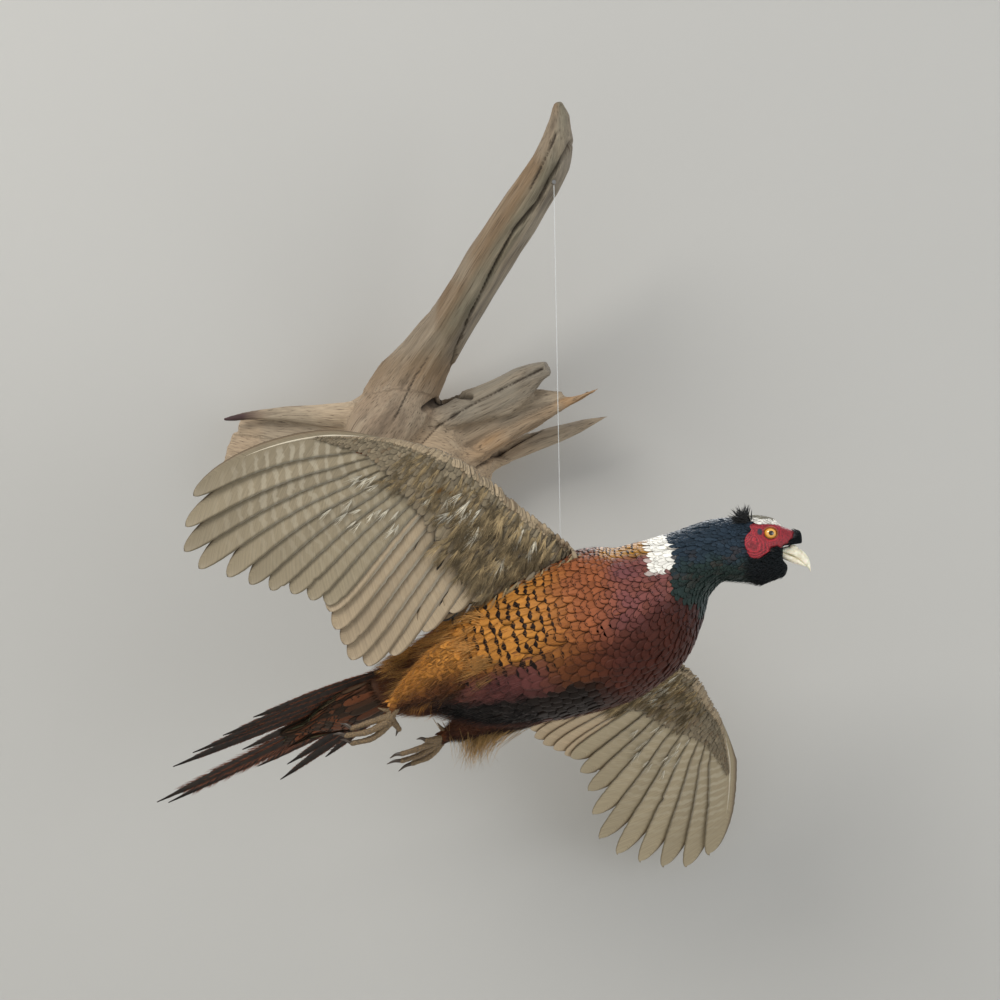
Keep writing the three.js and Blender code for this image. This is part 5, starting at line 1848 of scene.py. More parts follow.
def flight_feather(wing, feather, rank, rng):
    """One flight feather's vertices, faces, dorsal sheet first, vane coordinates and shaft line."""
    v, u, sheet, faces, along = PLANS["flight"]
    length, shaft = feather["length"], feather["shaft"]
    angle = feather["angle"]
    ahead = np.array([math.cos(angle), 0, math.sin(angle)])
    across = np.array([-math.sin(angle), 0, math.cos(angle)])
    inner_cut = np.zeros_like(along)
    outer_cut = np.zeros_like(along)
    for _ in range(rng.integers(0, 2)):
        row = rng.integers(16, len(along) - 3)
        cut = inner_cut if rng.random() < 0.75 else outer_cut
        deep = rng.uniform(0.05, 0.16)
        cut[row] = max(cut[row], deep)
        cut[row + 1] = max(cut[row + 1], deep * 0.4)
    ragged = 0.012 * rng.normal(size=len(along)) * (along > 0.3)
    rows = np.searchsorted(along, v - 1e-9)
    cut = np.where(u > 0, inner_cut[rows] * u, outer_cut[rows] * -u) + ragged[rows] * np.abs(u)
    half = feather["width"] / 2 * vane_share(v) * (1 - cut)
    wave = 0.5 * np.sin(v * rng.uniform(5, 9) + rng.uniform(0, 6)) * v
    side = -u * wing.leading * half + wing.leading * (4 * feather["bow"] * v * (1 - v))
    place = feather["root"] + ahead * (length * v)[:, None] + across * (side + wave)[:, None]
    tilt = -0.9 * u * np.clip(v * 3, 0.25, 1)
    dish = 0.7 * (u - shaft) ** 2 * np.clip(v * 2, 0, 1)
    place[:, 1] += tilt - 7 * v**2 - dish + sheet * 0.22 * (1 - u**2)
    place[:, 1] += 0.12 * rank
    line_v = np.linspace(0, 0.985, 24)
    line_half = feather["width"] / 2 * vane_share(line_v)
    side = -shaft * wing.leading * line_half + wing.leading * 4 * feather["bow"] * line_v * (1 - line_v)
    side = side + 0.5 * np.interp(line_v, np.sort(v), wave[np.argsort(v)]) * 2
    line = feather["root"] + ahead * (length * line_v)[:, None] + across * side[:, None]
    line[:, 1] += -0.9 * shaft * np.clip(line_v * 3, 0.25, 1) - 7 * line_v**2 + 0.12 * rank
    u_out = 0.5 + 0.5 * (u - shaft) * vane_share(v) / (1 + abs(shaft))
    return wing.place(place), faces, np.stack([u_out, v], -1), wing.place(line)


class PHEASANT_OT_flight_feathers(bpy.types.Operator):
    """Primaries and secondaries of both wings, each a closed vane on its shaft"""

    bl_idname = "pheasant.flight_feathers"
    bl_label = "Flight feathers"

    def execute(self, context):
        dye = context.scene.pheasant_plumage
        # Flight feathers seen from above: brown, barred with sand.
        upper = flight_material("flight_feather_upper", True)
        # Flight feathers seen from below: grey-buff with faint pale bars.
        under = flight_material("flight_feather_under", False)
        quill = quill_material()
        for name, wing in WING.items():
            rng = np.random.default_rng(21 if name == "right" else 22)
            places, faces, flats, bakes, tones, marks, mats = [], [], [], [], [], [], []
            total = 0
            shafts = []
            for rank, feather in enumerate(wing.feathers()):
                place, quads, flat, line = flight_feather(wing, feather, rank, rng)
                primary = feather["kind"] == "primary"
                share = feather["share"]
                ventral = np.array(dye.under_grey) if primary else np.array(dye.under_buff)
                # Painted light and shade: each wing's tone is scaled for how that wing is lit.
                tone = ventral * rng.uniform(0.9, 1.08) * wing.data["painted_light"]
                bake = np.stack(
                    [0.01 + rank / FLIGHT_COLUMNS + flat[:, 0] * 0.04, 0.02 + 0.95 * flat[:, 1]], -1
                )
                places.append(place)
                faces.append(quads + total)
                flats.append(flat)
                bakes.append(bake)
                tones.append(np.repeat(tone[None], len(place), axis=0))
                bars = 0.13 * (1 - share) + 0.04 if primary else 0.03
                margin = 0.25 if primary else 0.6
                marks.append(np.repeat([[bars, 0.75 if primary else 0.3, margin, 0.0]], len(place), axis=0))
                mats.append(np.repeat([0, 1], len(quads) // 2))
                shafts.append((line, 2.6 if primary else 2.0))
                total += len(place)
            vectors = {"tone": np.concatenate(tones), "marks": np.concatenate(marks)}
            uvs = {"vane": np.concatenate(flats), "OFBake": np.concatenate(bakes)}
            piece = mesh_piece(
                f"flight_feathers_{name}", np.concatenate(places), [np.concatenate(faces)], [upper, under],
                vectors, uvs, np.concatenate(mats),
            )
            finish_piece(piece, "wing_plumage", f"wing_{name}_primaries", f"wing_{name}_secondaries")
            lines = np.stack([line for line, _ in shafts])
            widths = np.array([width for _, width in shafts])
            vertices, quads, tris, flat, per = strand_fields(lines, widths, wing.axes[:, 1])
            homes = np.stack([(np.arange(len(lines)) + 0.5) / FLIGHT_COLUMNS, np.full(len(lines), 0.5)], -1)
            bake = np.repeat(homes, per, axis=0) + (flat - 0.5) * np.array([0.01, 0.9])
            shaft_piece = mesh_piece(
                f"quills_{name}", vertices, [quads, tris], [quill], None, {"OFBake": bake}
            )
            finish_piece(shaft_piece, "wing_plumage")
        return {"FINISHED"}


def wing_surface(name):
    """A tree of the faces of one wing's solids, in millimetres, for finding its surface."""
    vertices, faces = [], []
    for part in ("arm", "hand", "primaries", "secondaries"):
        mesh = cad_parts[f"wing_{name}_{part}"].data
        start = len(vertices)
        vertices += [tuple(v.co / MM) for v in mesh.vertices]
        faces += [tuple(start + i for i in polygon.vertices) for polygon in mesh.polygons]
    return BVHTree.FromPolygons(vertices, faces)


COVERT_ROWS = {  # share of the chord, feather length, width, gap between neighbours, in mm
    "upper": (
        (0.02, 11, 6, 3.4), (0.09, 14, 7.5, 4.2), (0.18, 18, 9, 5.0), (0.29, 23, 11, 6.0),
        (0.42, 30, 13, 7.2), (0.56, 40, 16, 9.0), (0.70, 50, 19, 11.0),
    ),
    "under": (
        (0.0, 9, 3.6, 1.7), (0.04, 10, 4, 2.4), (0.12, 12, 5, 2.8), (0.21, 15, 6, 3.2), (0.32, 18, 6.5, 3.4),
        (0.45, 21, 7, 3.6), (0.58, 24, 7.5, 3.8),
    ),
}


class PHEASANT_OT_coverts(bpy.types.Operator):
    """Rows of coverts on both faces of each wing, from the leading edge over the quills"""

    bl_idname = "pheasant.coverts"
    bl_label = "Wing coverts"

    def execute(self, context):
        dye = context.scene.pheasant_plumage
        # Covert feathers: soft and matt, grey-buff below and sandy above.
        material = feather_material(
            "covert_feather", 0.65, 8.0, 0.2, (0.9, 0.85, 0.75), (1.0, 1.0, 1.0), 0.07
        )
        plan = PLANS["middle"]
        for name, wing in WING.items():
            surface = wing_surface(name)
            rng = np.random.default_rng(31 if name == "right" else 32)
            for face, way in (("under", -1), ("upper", 1)):
                coat = Coat()
                for part in ("arm", "hand_coverts"):
                    for rank, (chord_share, length, width, gap) in enumerate(COVERT_ROWS[face]):
                        span = np.linalg.norm(
                            np.diff([s[0] for s in wing.data[part]], axis=0), axis=-1
                        ).sum()
                        n = int(span * (1.12 if part == "arm" else 1.05) / gap)
                        t = (np.arange(n) + 0.5 * (rank % 2) + 0.25) / n
                        t = np.clip(t + rng.normal(0, 0.15, n) / n, 0, 1)
                        leads, trails, _ = wing.stations(part, t)
                        chord = trails - leads
                        size = np.clip(np.linalg.norm(chord, axis=-1) / 72, 0.35, 1.1)
                        if face == "under":
                            first = wing.data["under_reach"][0]
                            reaches = (1, 1, first) if part == "arm" else wing.data["under_reach"]
                            shrink = np.interp(
                                t, (0, 0.6, 1) if part == "arm" else (0, 0.25, 0.5, 1), reaches
                            )
                            chord = chord * shrink[:, None]
                            size = size * (0.5 + 0.5 * shrink)
                        root = leads + chord * (chord_share + rng.normal(0, 0.012, n))[:, None]
                        angle = wing.angle(part, t) + rng.normal(0, 0.06, n)
                        if part == "arm":
                            # Near the leading edge the small coverts sweep back along the arm.
                            angle = angle - wing.leading * (
                                0.12 * (1 - chord_share) + 0.7 * (chord_share < 0.02)
                            )
                        reach = length * size * rng.uniform(0.9, 1.1, n)
                        flow = plan[4][None, :, None] * reach[:, None, None]
                        heading = np.stack([np.cos(angle), np.zeros(n), np.sin(angle)], -1)
                        flat = root[:, None] + heading[:, None] * flow
                        lines, ups = self.laid(wing, surface, flat, way, rng, plan[4])
                        widths = width * size * rng.uniform(0.9, 1.15, n)
                        tone, marks = self.tones(dye, face, part, chord_share, t, rng)
                        place = t * 0.48 if part == "arm" else 0.5 + t * 0.48
                        homes = np.stack([0.01 + place, 0.05 + 0.9 * np.full(n, chord_share)], -1)
                        coat.add_vanes(lines, ups, widths, plan, homes, tone, marks, cup=0.12, thick=0.25)
                piece = coat.piece(f"coverts_{name}_{face}", [material])
                finish_piece(piece, "wing_plumage")
        return {"FINISHED"}

    def laid(self, wing, surface, flat, way, rng, steps):
        """Lays flat lines on the wing's face seen from way (-1 is the underside), rising to their tips."""
        count, rows = flat.shape[:2]
        normal = Vector(wing.axes[:, 1] * way)
        heights = np.empty((count, rows))
        for i in range(count):
            last = None
            for j in range(rows):
                start = Vector(wing.place(flat[i, j] * (1, 0, 1) + (0, PROBE * way, 0)))
                hit = surface.ray_cast(start, -normal, 2 * PROBE)[0]
                if hit is None:
                    height = (0.6 - 0.02 * j) if last is None else last
                else:
                    height = float(wing.local(np.array(hit))[1]) * way
                last = height
                heights[i, j] = height
        for _ in range(2):
            heights[:, 1:-1] = (heights[:, :-2] + heights[:, 1:-1] * 2 + heights[:, 2:]) / 4
        lifted = heights + 0.5 + 1.5 * steps[None] ** 0.8 + rng.uniform(0, 0.3, (count, 1))
        points = flat.copy()
        points[..., 1] = lifted * way
        ups = np.broadcast_to(wing.axes[:, 1] * way, flat.shape)
        return wing.place(points), ups

    def tones(self, dye, face, part, chord_share, t, rng):
        n = len(t)
        marks = np.zeros((n, 4))
        if face == "under":
            tone = np.repeat(
                np.array(dye.under_grey)[None], n, axis=0
            ) * 0.5 * rng.uniform(0.7, 1.35, (n, 1))
            tone = blend(
                tone, np.array(dye.under_buff) * 0.6, np.full(n, 0.5 * chord_share) + 0.2 * rng.random(n)
            )
            tone = blend(
                tone, np.array(dye.under_buff) * 0.85, (chord_share < 0.02) * rng.uniform(0.6, 1.0, n)
            )
            tone = blend(tone, dye.wing_upper, (rng.random(n) < 0.12) * 0.5)
        else:
            tone = np.repeat(np.array(dye.wing_sandy)[None], n, axis=0)
            tone = blend(tone, dye.scapular, (1 - t) * 0.7 if part == "arm" else t * 0)
            tone = blend(tone, dye.wing_upper, np.full(n, chord_share))
            marks[:, 0] = 0.12
            marks[:, 2] = 0.6
        return tone * rng.uniform(0.85, 1.12, (n, 1)), marks


# ---- Tail -------------------------------------------------------------------------------------------------


def tail_material():
    """Tail feathers: nearly black along the shaft, chestnut towards the margins, with dark bars."""
    dye = bpy.context.scene.pheasant_plumage
    material, node, shader = new_material("tail_feather", **{"Roughness": 0.5, "Specular IOR Level": 0.25})
    tone = node("Attribute", attribute_name="tone")
    across, off, v = vane_axes(node)
    barb = node("Math", (off, -1.0, node("Math", (v, 16.0), operation="MULTIPLY")), operation="MULTIPLY_ADD")
    place = node("CombineXYZ", {0: node("Math", (barb, 9.0), operation="MULTIPLY"), 1: across})
    grain = node("TexNoise", {"Vector": place, "Scale": 1.0, "Detail": 3.0})
    bars = node("Math", (v, 80.0), operation="MULTIPLY")
    bars = node("Math", (node("Math", (off, -1.5, bars), operation="MULTIPLY_ADD"),), operation="SINE")
    bars = node("MapRange", {0: bars, 1: 0.2, 2: 0.7})
    rust = node("MapRange", {0: off, 1: 0.45, 2: 1.0}, interpolation_type="SMOOTHSTEP")
    rust = node("Math", (rust, 0.4), operation="MULTIPLY")
    colour = node("Mix", {0: rust, 6: tone, 7: rgba(dye.tail_rust)}, data_type="RGBA")
    colour = node(
        "Mix", {0: node("Math", (bars, 0.45), operation="MULTIPLY"), 6: colour, 7: rgba(dye.ink)},
        data_type="RGBA",
    )
    shade = node("Math", (grain, 0.9, 0.55), operation="MULTIPLY_ADD")
    colour = node("Mix", {0: 1.0, 6: colour, 7: shade}, data_type="RGBA", blend_type="MULTIPLY")
    bump = node("Bump", {"Strength": 0.4, "Distance": 0.0004, "Height": grain})
    wire(shader, {"Base Color": colour, "Normal": bump})
    return material


class PHEASANT_OT_tail(bpy.types.Operator):
    """Long tail feathers with loose fringes, and their quills"""

    bl_idname = "pheasant.tail"
    bl_label = "Tail"

    def execute(self, context):
        dye = context.scene.pheasant_plumage
        rng = np.random.default_rng(41)
        material = tail_material()
        v, u, sheet, faces, along = PLANS["flight"]
        coat = Coat()
        fringe_lines, fringe_tones = [], []
        for rank, (start, splay, length, width) in enumerate(TAIL):
            axis = tail_axis(splay)
            across = np.cross(DORSAL, axis)
            share = np.minimum(0.6 + v, 1) * np.maximum(1 - v**2.6, 0.02) ** 0.8
            ragged = 1 + 0.05 * rng.normal(size=len(along))[np.searchsorted(along, v - 1e-9)] * np.abs(u)
            place = TAIL_ROOT + LEFT * start + axis * (length * v)[:, None]
            place = place + across * (u * width * 0.4 * share * ragged)[:, None]
            lift = rank * TAIL_STEP - 0.9 * u**2 + sheet * 0.25 * (1 - u**2)
            place = place + DORSAL * lift[:, None]
            flat = np.stack([0.5 + 0.5 * u * share, v], -1)
            tone = np.array(dye.tail_dark) * rng.uniform(0.85, 1.3)
            home = np.array([[(rank + 0.5) / len(TAIL), 0.5]])
            coat.add(
                place, [faces, np.zeros((0, 3), int)], flat, home, len(place), tone[None], np.zeros((1, 4))
            )
            coat.parts[-1]["bake"] = np.stack(
                [(rank + 0.1 + 0.8 * flat[:, 0]) / len(TAIL), 0.02 + 0.95 * v], -1
            )
            n = int(length * 2.2)
            at = rng.uniform(0.05, 0.9, n) ** 1.15
            way = rng.choice((-1, 1), n)
            reach = np.minimum(0.6 + at, 1) * (1 - at**2.6) ** 0.8 * width * 0.4
            roots = TAIL_ROOT + LEFT * start + axis * (length * at)[:, None] + across * (
                way * reach * 0.85
            )[:, None]
            roots = roots + DORSAL * (rank * TAIL_STEP - 0.7)
            long = rng.uniform(5, 11, n) * (1.15 - 0.75 * at) * (1.3 if rank in (5, 6) else 0.5)
            steps = np.linspace(0, 1, 4)[None, :, None]
            heading = axis * 0.9 + across * way[:, None] * rng.uniform(0.35, 0.75, n)[:, None]
            lines = roots[:, None] + unit(heading)[:, None] * steps * long[:, None, None]
            lines = lines + axis * (steps**2 * long[:, None, None] * 0.25)
            fringe_lines.append(lines)
            fringe_tones.append(
                np.repeat(np.array(dye.tail_rust)[None], n, axis=0) * rng.uniform(0.4, 1.7, (n, 1))
            )
        lines, tones = np.concatenate(fringe_lines), np.concatenate(fringe_tones)
        homes = np.stack([rng.random(len(lines)), rng.random(len(lines))], -1) * 0.9 + 0.05
        coat.add_strands(lines, np.full(len(lines), 0.7), homes, tones, DORSAL)
        finish_piece(coat.piece("tail_feathers", [material]), "tail_plumage", "tail")

        quills = []
        for rank, (start, splay, length, _) in enumerate(TAIL):
            t = np.linspace(0, 0.98, 20)[:, None]
            quills.append(
                TAIL_ROOT + LEFT * start + tail_axis(splay) * length * t + DORSAL * (rank * TAIL_STEP)
            )
        vertices, quads, tris, flat, _ = strand_fields(np.stack(quills), np.full(len(quills), 1.5), DORSAL)
        piece = mesh_piece(
            "tail_quills", vertices, [quads, tris], [quill_material()], None, {"OFBake": flat}
        )
        finish_piece(piece, "tail_plumage")
        return {"FINISHED"}


# ---- Legs -------------------------------------------------------------------------------------------------


class PHEASANT_OT_legs(bpy.types.Operator):
    """Scaly shanks and toes, spurs and claws"""

    bl_idname = "pheasant.legs"
    bl_label = "Legs"

    def execute(self, context):
        parts = context.scene.pheasant_parts
        # Leg scutes: dry horny plates, matt, darker along their seams.
        material, node, shader = new_material("leg_scutes", Roughness=0.6)
        here = node("TexCoord").outputs["Object"]
        plates = node("TexVoronoi", {"Vector": here, "Scale": 520.0}, feature="DISTANCE_TO_EDGE")
        seam = node("MapRange", {0: plates, 1: 0.0, 2: 0.12})
        colour = node("Mix", {0: seam, 6: rgba(linear("#4c4032")), 7: rgba(parts.scutes)}, data_type="RGBA")
        bump = node("Bump", {"Strength": 0.6, "Distance": 0.0005, "Height": seam})
        wire(shader, {"Base Color": colour, "Normal": bump})
        # Claw horn: dark keratin, smooth and a little worn.
        horn = clouded_material("claw_horn", 300.0, parts.claws, linear("#4a3d30"), Roughness=0.35)[0]
        for side, foot in FEET.items():
            bm = bmesh.new()
            limbs = [(foot["shank"], SHANK_RADII), (foot["spur"], SPUR_RADII)]
            limbs += [(line[:-1], TOE_RADII) for line in foot["toes"].values()]
            for line, radii in limbs:
                tube = Tube(line, [(r, r, r) for r in radii], np.array((0.1, -0.3, 1.0)))
                rings = tube_rings(tube, 26, 14, taper_ends=radii[-1] * 0.9)
                for k, ring in enumerate(rings):
                    middle = ring.mean(axis=0)
                    swell = 1 + 0.06 * math.cos(k * 2.1) + 0.05 * math.cos(k * 0.7)
                    rings[k] = middle + (ring - middle) * swell
                add_tube(bm, rings)
            finish_piece(bm_piece(f"scaly_foot_{side}", bm, [material]), "leg_scales", f"foot_{side}")
            for toe, line in foot["toes"].items():
                end, tip = np.array(line[-2], float), np.array(line[-1], float)
                middle = (end + tip) / 2 + (0, -0.5, 1.2)
                tube = Tube(
                    [end, middle, tip], [(r, r * 1.15, r) for r in CLAW_RADII], np.array((0.1, -0.3, 1.0))
                )
                bm = bmesh.new()
                add_tube(bm, tube_rings(tube, 12, 10, taper_ends=0.4))
                finish_piece(
                    bm_piece(f"horn_claw_{side}_{toe}", bm, [horn]), "claw_horn", f"claw_{side}_{toe}"
                )
        return {"FINISHED"}


# ---- Driftwood and fittings -------------------------------------------------------------------------------

WOOD_UP = np.array((-0.3, 0, 1.0))


def grain_places(points):
    """Each point's place on its nearest limb in mm (along, across and up it), and the limbs' mixed tone."""
    best = np.full(len(points), 1e9)
    grain = np.zeros((len(points), 3))
    tone = np.zeros((len(points), 3))
    weights = np.full(len(points), 1e-9)
    for number, (name, (line, sizes)) in enumerate({**WOOD, **WOOD_WEBS}.items()):
        tube = Tube(line, sizes, WOOD_UP)
        t = np.linspace(0, 1, 60)
        centre, forward, left, up, size = tube.section(t)
        girth = size.mean(axis=-1)
        far = ((points[:, None] - centre[None]) ** 2).sum(-1)
        near = np.argmin(far / girth[None] ** 2, axis=1)
        out = points - centre[near]
        score = np.sqrt(far[np.arange(len(points)), near]) / girth[near]
        run = tube.mm_at(t[near]) + (out * forward[near]).sum(-1) + number * 400
        value = np.stack([run, (out * left[near]).sum(-1), (out * up[near]).sum(-1)], -1)
        own = np.repeat(np.array(linear(WOOD_TONES[name]))[None], len(points), axis=0)
        if name == "branch":
            aside = (out[:, 0] * 0.86 - out[:, 2] * 0.5) / girth[near]
            own = blend(
                own, linear("#6d6755"), smoothstep(aside, -0.5, 0.1) * smoothstep(points[:, 2], 40, 110)
            )
            own = blend(
                own, linear("#82796a"), smoothstep(aside, 0.35, 0.7) * smoothstep(points[:, 2], 40, 90)
            )
        if name == "horn":
            own = blend(own, linear("#3f2b2b"), smoothstep(-points[:, 0], 155, 195))
        weight = np.exp(-7 * score)
        tone += own * weight[:, None]
        weights += weight
        closer = score < best
        best = np.where(closer, score, best)
        grain[closer] = value[closer]
    return grain, tone / weights[:, None]


def crack_depth(points):
    """How deep the wood's cracks go at each point of its face, and how much painted shade darkens them."""
    depth = np.zeros(len(points))
    dark = np.zeros(len(points))
    p = points[:, (0, 2)]
    for line, width, deep in WOOD_CRACKS:
        line = np.array(line, float)
        far = np.full(len(p), 1e9)
        for a, b in zip(line[:-1], line[1:]):
            share = np.clip((p - a) @ (b - a) / ((b - a) @ (b - a)), 0, 1)
            far = np.minimum(far, np.linalg.norm(p - a - share[:, None] * (b - a), axis=-1))
        far = far + 0.7 * noise(points * 0.12, 14)
        cut = smoothstep(-far, -width, -0.2 * width)
        depth = np.maximum(depth, cut * deep)
        # Painted shade: darker towards each crack's middle.
        dark = np.maximum(dark, smoothstep(-far, -0.75 * width, 0))
    return depth, dark


class PHEASANT_OT_driftwood(bpy.types.Operator):
    """The weathered driftwood, one piece of wood with its grain worn into ridges and cracks"""

    bl_idname = "pheasant.driftwood"
    bl_label = "Driftwood"

    def execute(self, context):
        parts = context.scene.pheasant_parts
        bm = bmesh.new()
        for limb in WOOD:
            bm.from_mesh(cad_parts[f"driftwood_{limb}"].data)
        bmesh.ops.scale(bm, vec=(1 / MM,) * 3, verts=bm.verts)
        for line, sizes in WOOD_WEBS.values():
            add_tube(bm, tube_rings(Tube(line, sizes, WOOD_UP), 16, 18, taper_ends=3))
        piece = remeshed(bm_piece("driftwood", bm, []), 1.8, 5)
        mesh = piece.data
        points = coords_mm(mesh)
        grain, tone = grain_places(points)
        normals = np.empty(len(points) * 3, np.float32)
        mesh.vertices.foreach_get("normal", normals)
        normals = normals.reshape(-1, 3).astype(float)
        front = smoothstep(-normals[:, 1], -0.35, 0.1)
        ridges = noise(grain * (0.010, 0.17, 0.17), 1) * 1.1 + noise(grain * (0.02, 0.4, 0.4), 2) * 0.5
        ridges = ridges + noise(points * (0.03, 0.03, 0.03), 6) * 1.3
        crack, dark = crack_depth(points)
        free = smoothstep(-points[:, 1], 1.0, 6.0)
        points = points - normals * ((ridges + 0.7 + crack * front) * free)[:, None]
        points[:, 1] = np.minimum(points[:, 1], 0)
        mesh.vertices.foreach_set("co", (points * MM).astype(np.float32).ravel())
        set_vectors(mesh, "grain", grain * 0.1)
        # Painted shade darkens the cracks on the wood's face and the hollows between the grain's ridges; the
        # weathered grey is the wood's own colour.
        grey = smoothstep(noise(points * 0.02, 12), 0.05, 0.5) * 0.5
        hollow_shade = smoothstep(ridges, 0.4, 1.9) * 0.5
        set_vectors(
            mesh, "shade_and_weathering", np.stack([np.maximum(dark * front, hollow_shade), grey, np.zeros_like(grey)], -1)
        )
        set_vectors(mesh, "tone", tone)
        mesh.update()
        # Driftwood: bare softwood, sand-worn and sun-bleached, matt, with painted shade in its cracks and
        # hollows.
        material, node, shader = new_material("weathered_driftwood", Roughness=0.85)
        run = node("Attribute", attribute_name="grain").outputs["Vector"]
        shade_and_weathering = node("Attribute", attribute_name="shade_and_weathering").outputs["Vector"]
        tone = node("Attribute", attribute_name="tone")
        split = node("SeparateXYZ", {0: shade_and_weathering})
        long = node("Mapping", {0: run, 3: (0.3, 8.0, 8.0)})
        fine = node("TexNoise", {"Vector": long, "Scale": 1.0, "Detail": 6.0})
        wide = node("Mapping", {0: run, 3: (0.1, 1.3, 1.3)})
        broad = node("TexNoise", {"Vector": wide, "Scale": 1.0, "Detail": 4.0})
        here = node("TexCoord").outputs["Object"]
        stain = node("TexNoise", {"Vector": here, "Scale": 26.0, "Detail": 5.0})
        colour = node("Mix", {0: split.outputs[1], 6: tone, 7: rgba(parts.wood_grey)}, data_type="RGBA")
        pale = node("MapRange", {0: broad, 1: 0.5, 2: 0.75})
        colour = node(
            "Mix",
            {0: node("Math", (pale, 0.5), operation="MULTIPLY"), 6: colour, 7: rgba(parts.wood_light)},
            data_type="RGBA",
        )
        brown = node("MapRange", {0: stain, 1: 0.5, 2: 0.7})
        colour = node(
            "Mix",
            {0: node("Math", (brown, 0.35), operation="MULTIPLY"), 6: colour, 7: rgba(parts.wood_mid)},
            data_type="RGBA",
        )
        shade = node("Math", (fine, 1.1, 0.48), operation="MULTIPLY_ADD")
        colour = node("Mix", {0: 1.0, 6: colour, 7: shade}, data_type="RGBA", blend_type="MULTIPLY")
        hair = node("MapRange", {0: fine, 1: 0.40, 2: 0.33})
        colour = node(
            "Mix", {0: node("Math", (hair, 0.6), operation="MULTIPLY"), 6: colour, 7: rgba(parts.wood_dark)},
            data_type="RGBA",
        )
        # Painted shade in the cracks and hollows.
        colour = node("Mix", {0: split.outputs[0], 6: colour, 7: rgba(linear("#33291f"))}, data_type="RGBA")
        bump = node("Bump", {"Strength": 0.7, "Distance": 0.0012, "Height": fine})
        wire(shader, {"Base Color": colour, "Normal": bump})
        mesh.materials.append(material)
        finish_piece(piece, "driftwood", *(f"driftwood_{limb}" for limb in WOOD))
        return {"FINISHED"}


class PHEASANT_OT_line(bpy.types.Operator):
    """The nylon line from the branch to the bird's back"""

    bl_idname = "pheasant.line"
    bl_label = "Hanging line"

    def execute(self, context):
        # Monofilament nylon: clear and smooth, it shows as a pale thread.
        sockets = {"Roughness": 0.2, "IOR": 1.53, "Alpha": 0.4}
        material = clouded_material("nylon_line", 30.0, linear("#e6e8e6"), linear("#cfd4d2"), **sockets)[0]
        path = [Vector(LINE_TOP).lerp(Vector(LINE_BOTTOM), k / 15) * MM for k in range(16)]
        curve = bpy.data.curves.new("nylon_line", "CURVE")
        curve.dimensions = "3D"
        curve.bevel_depth = LINE_DIAMETER / 2 * MM
        curve.bevel_resolution = 3
        curve.use_fill_caps = True
        spline_run = curve.splines.new("POLY")
        spline_run.points.add(len(path) - 1)
        for point, place in zip(spline_run.points, path):
            point.co = (*place, 1)
        curve.materials.append(material)
        line = bpy.data.objects.new("nylon_line", curve)
        context.scene.collection.objects.link(line)
        finish_piece(line, "nylon_line", "hanging_line")
        return {"FINISHED"}


class PHEASANT_OT_fittings(bpy.types.Operator):
    """Finishes for the rod, hanger plate, tack and eyelet"""

    bl_idname = "pheasant.fittings"
    bl_label = "Fittings"

    def execute(self, context):
        # Drawn steel wire and pressed plate: dull silver with fine draw lines and a little tarnish.
        silver, grey = linear("#9a9a98"), linear("#6e6b66")
        material, node, shader, tarnish = clouded_material(
            "drawn_steel", 180.0, silver, grey, 4.0, Metallic=1.0
        )
        rough = node("Math", (tarnish, 0.3, 0.25), operation="MULTIPLY_ADD")
        wire(shader, {"Roughness": rough})
        for fitting in ("hanger_plate", "support_rod", "line_tack", "line_eyelet"):
            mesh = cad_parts[fitting].data
            mesh.materials.clear()
            mesh.materials.append(material)
        return {"FINISHED"}


# ---- Stage ------------------------------------------------------------------------------------------------

CAMERA_AT = (60, -2100, -75)
FOCAL_PIXELS = 2081  # for a picture 1000 pixels wide
SENSOR = 36
FLOOR_Z = -760
WALL_SIZE = 6000


def area_light(name, at, target, size, power, colour):
    light = bpy.data.lights.new(name, "AREA")
    light.shape = "DISK"
    light.size = size
    light.energy = power
    light.color = colour
    lamp = bpy.data.objects.new(name, light)
    lamp.location = Vector(at) * MM
    lamp.rotation_euler = (Vector(target) - Vector(at)).to_track_quat("-Z", "Y").to_euler()
    bpy.context.scene.collection.objects.link(lamp)


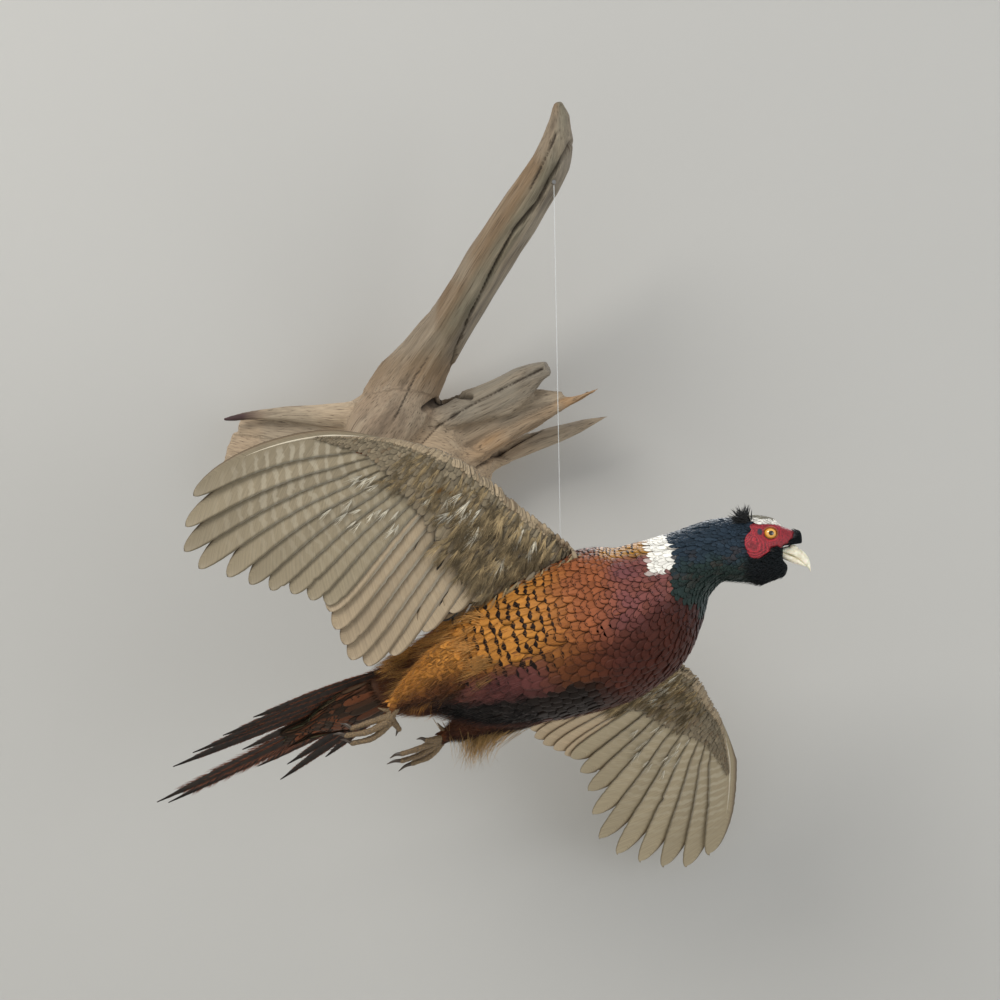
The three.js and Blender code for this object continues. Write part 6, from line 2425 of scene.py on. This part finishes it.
class PHEASANT_OT_stage(bpy.types.Operator):
    """Camera, plain pale floor and wall, and soft light"""

    bl_idname = "pheasant.stage"
    bl_label = "Stage"

    def execute(self, context):
        scene = context.scene
        room = scene.pheasant_stage
        camera = bpy.data.cameras.new("camera")
        camera.sensor_width = SENSOR
        camera.lens = FOCAL_PIXELS * SENSOR / 1000
        camera.clip_end = 50
        eye = bpy.data.objects.new("camera", camera)
        eye.location = Vector(CAMERA_AT) * MM
        eye.rotation_euler = (math.pi / 2, 0, 0)
        scene.collection.objects.link(eye)
        scene.camera = eye
        scene.view_settings.view_transform = "Standard"

        floor_paint = self.paint("floor_paint", room.floor)
        wall_paint = self.paint("wall_paint", room.wall)
        for name, paint, lay in (
            ("stage_floor", floor_paint, Matrix.Translation((0, 0, FLOOR_Z * MM))),
            (
                "stage_wall", wall_paint,
                Matrix.Translation((0, 0.004, 0)) @ Matrix.Rotation(math.pi / 2, 4, "X"),
            ),
        ):
            bm = bmesh.new()
            bmesh.ops.create_grid(bm, x_segments=1, y_segments=1, size=WALL_SIZE / 2 * MM)
            bmesh.ops.transform(bm, matrix=lay, verts=bm.verts)
            mesh = bpy.data.meshes.new(name)
            bm.to_mesh(mesh)
            bm.free()
            mesh.materials.append(paint)
            sheet = bpy.data.objects.new(name, mesh)
            scene.collection.objects.link(sheet)
            if name == "stage_wall":
                # A backdrop for the front only: it gives no shade or bounce to views from behind.
                sheet.visible_diffuse = False
                sheet.visible_glossy = False
                sheet.visible_transmission = False
                sheet.visible_shadow = False
        target = (40, -200, -60)
        area_light("key", (-1500, -2300, 1700), target, 1.6, room.key_power, (1.0, 0.98, 0.95))
        area_light("fill", (1900, -1900, -200), target, 1.8, room.fill_power, (0.95, 0.97, 1.0))
        area_light("back", (600, 2400, 1500), target, 1.8, room.key_power * 0.7, (1.0, 1.0, 1.0))
        world = bpy.data.worlds.new("room_light")
        world.use_nodes = True
        world.node_tree.nodes["Background"].inputs[0].default_value = (0.93, 0.95, 1.0, 1.0)
        world.node_tree.nodes["Background"].inputs[1].default_value = room.ambient
        scene.world = world
        return {"FINISHED"}

    def paint(self, name, colour):
        """Matt wall paint, rolled on: even, with a very faint mottle. It is clear from its back."""
        darker = tuple(c * 0.94 for c in tuple(colour)[:3])
        material, node, shader, _ = clouded_material(name, 2.0, colour, darker, Roughness=0.9)
        clear = node("BsdfTransparent")
        behind = node("NewGeometry").outputs["Backfacing"]
        mix = node("MixShader", {0: behind, 1: shader, 2: clear})
        output = next(n for n in material.node_tree.nodes if n.bl_idname == "ShaderNodeOutputMaterial")
        wire(output, {0: mix})
        return material


# ---- The add-on -------------------------------------------------------------------------------------------


class PHEASANT_PT_panel(bpy.types.Panel):
    """Lists the steps that build the mount"""

    bl_label = "Pheasant"
    bl_idname = "PHEASANT_PT_panel"
    bl_space_type = "VIEW_3D"
    bl_region_type = "UI"
    bl_category = "Pheasant"

    def draw(self, context):
        for group in ("pheasant_plumage", "pheasant_parts", "pheasant_stage"):
            settings = getattr(context.scene, group)
            for key in settings.__annotations__:
                self.layout.prop(settings, key)
        for operator in OPERATORS:
            self.layout.operator(operator.bl_idname)


OPERATORS = (
    PHEASANT_OT_stage,
    PHEASANT_OT_line,
    PHEASANT_OT_skin,
    PHEASANT_OT_body_coat,
    PHEASANT_OT_neck_coat,
    PHEASANT_OT_thigh_coat,
    PHEASANT_OT_plumes,
    PHEASANT_OT_wattle,
    PHEASANT_OT_flight_feathers,
    PHEASANT_OT_coverts,
    PHEASANT_OT_axillaries,
    PHEASANT_OT_tail,
    PHEASANT_OT_bill,
    PHEASANT_OT_eyes,
    PHEASANT_OT_legs,
    PHEASANT_OT_driftwood,
    PHEASANT_OT_fittings,
)
GROUPS = {
    "pheasant_plumage": PheasantPlumage,
    "pheasant_parts": PheasantParts,
    "pheasant_stage": PheasantStage,
}


def register():
    for group in (*GROUPS.values(), *OPERATORS, PHEASANT_PT_panel):
        bpy.utils.register_class(group)
    for name, group in GROUPS.items():
        setattr(bpy.types.Scene, name, bpy.props.PointerProperty(type=group))


def unregister():
    for name in GROUPS:
        delattr(bpy.types.Scene, name)
    for group in reversed((*GROUPS.values(), *OPERATORS, PHEASANT_PT_panel)):
        bpy.utils.unregister_class(group)


def main():
    register()
    for operator in OPERATORS:
        group, name = operator.bl_idname.split(".")
        getattr(getattr(bpy.ops, group), name)()


if __name__ == "__main__":
    main()
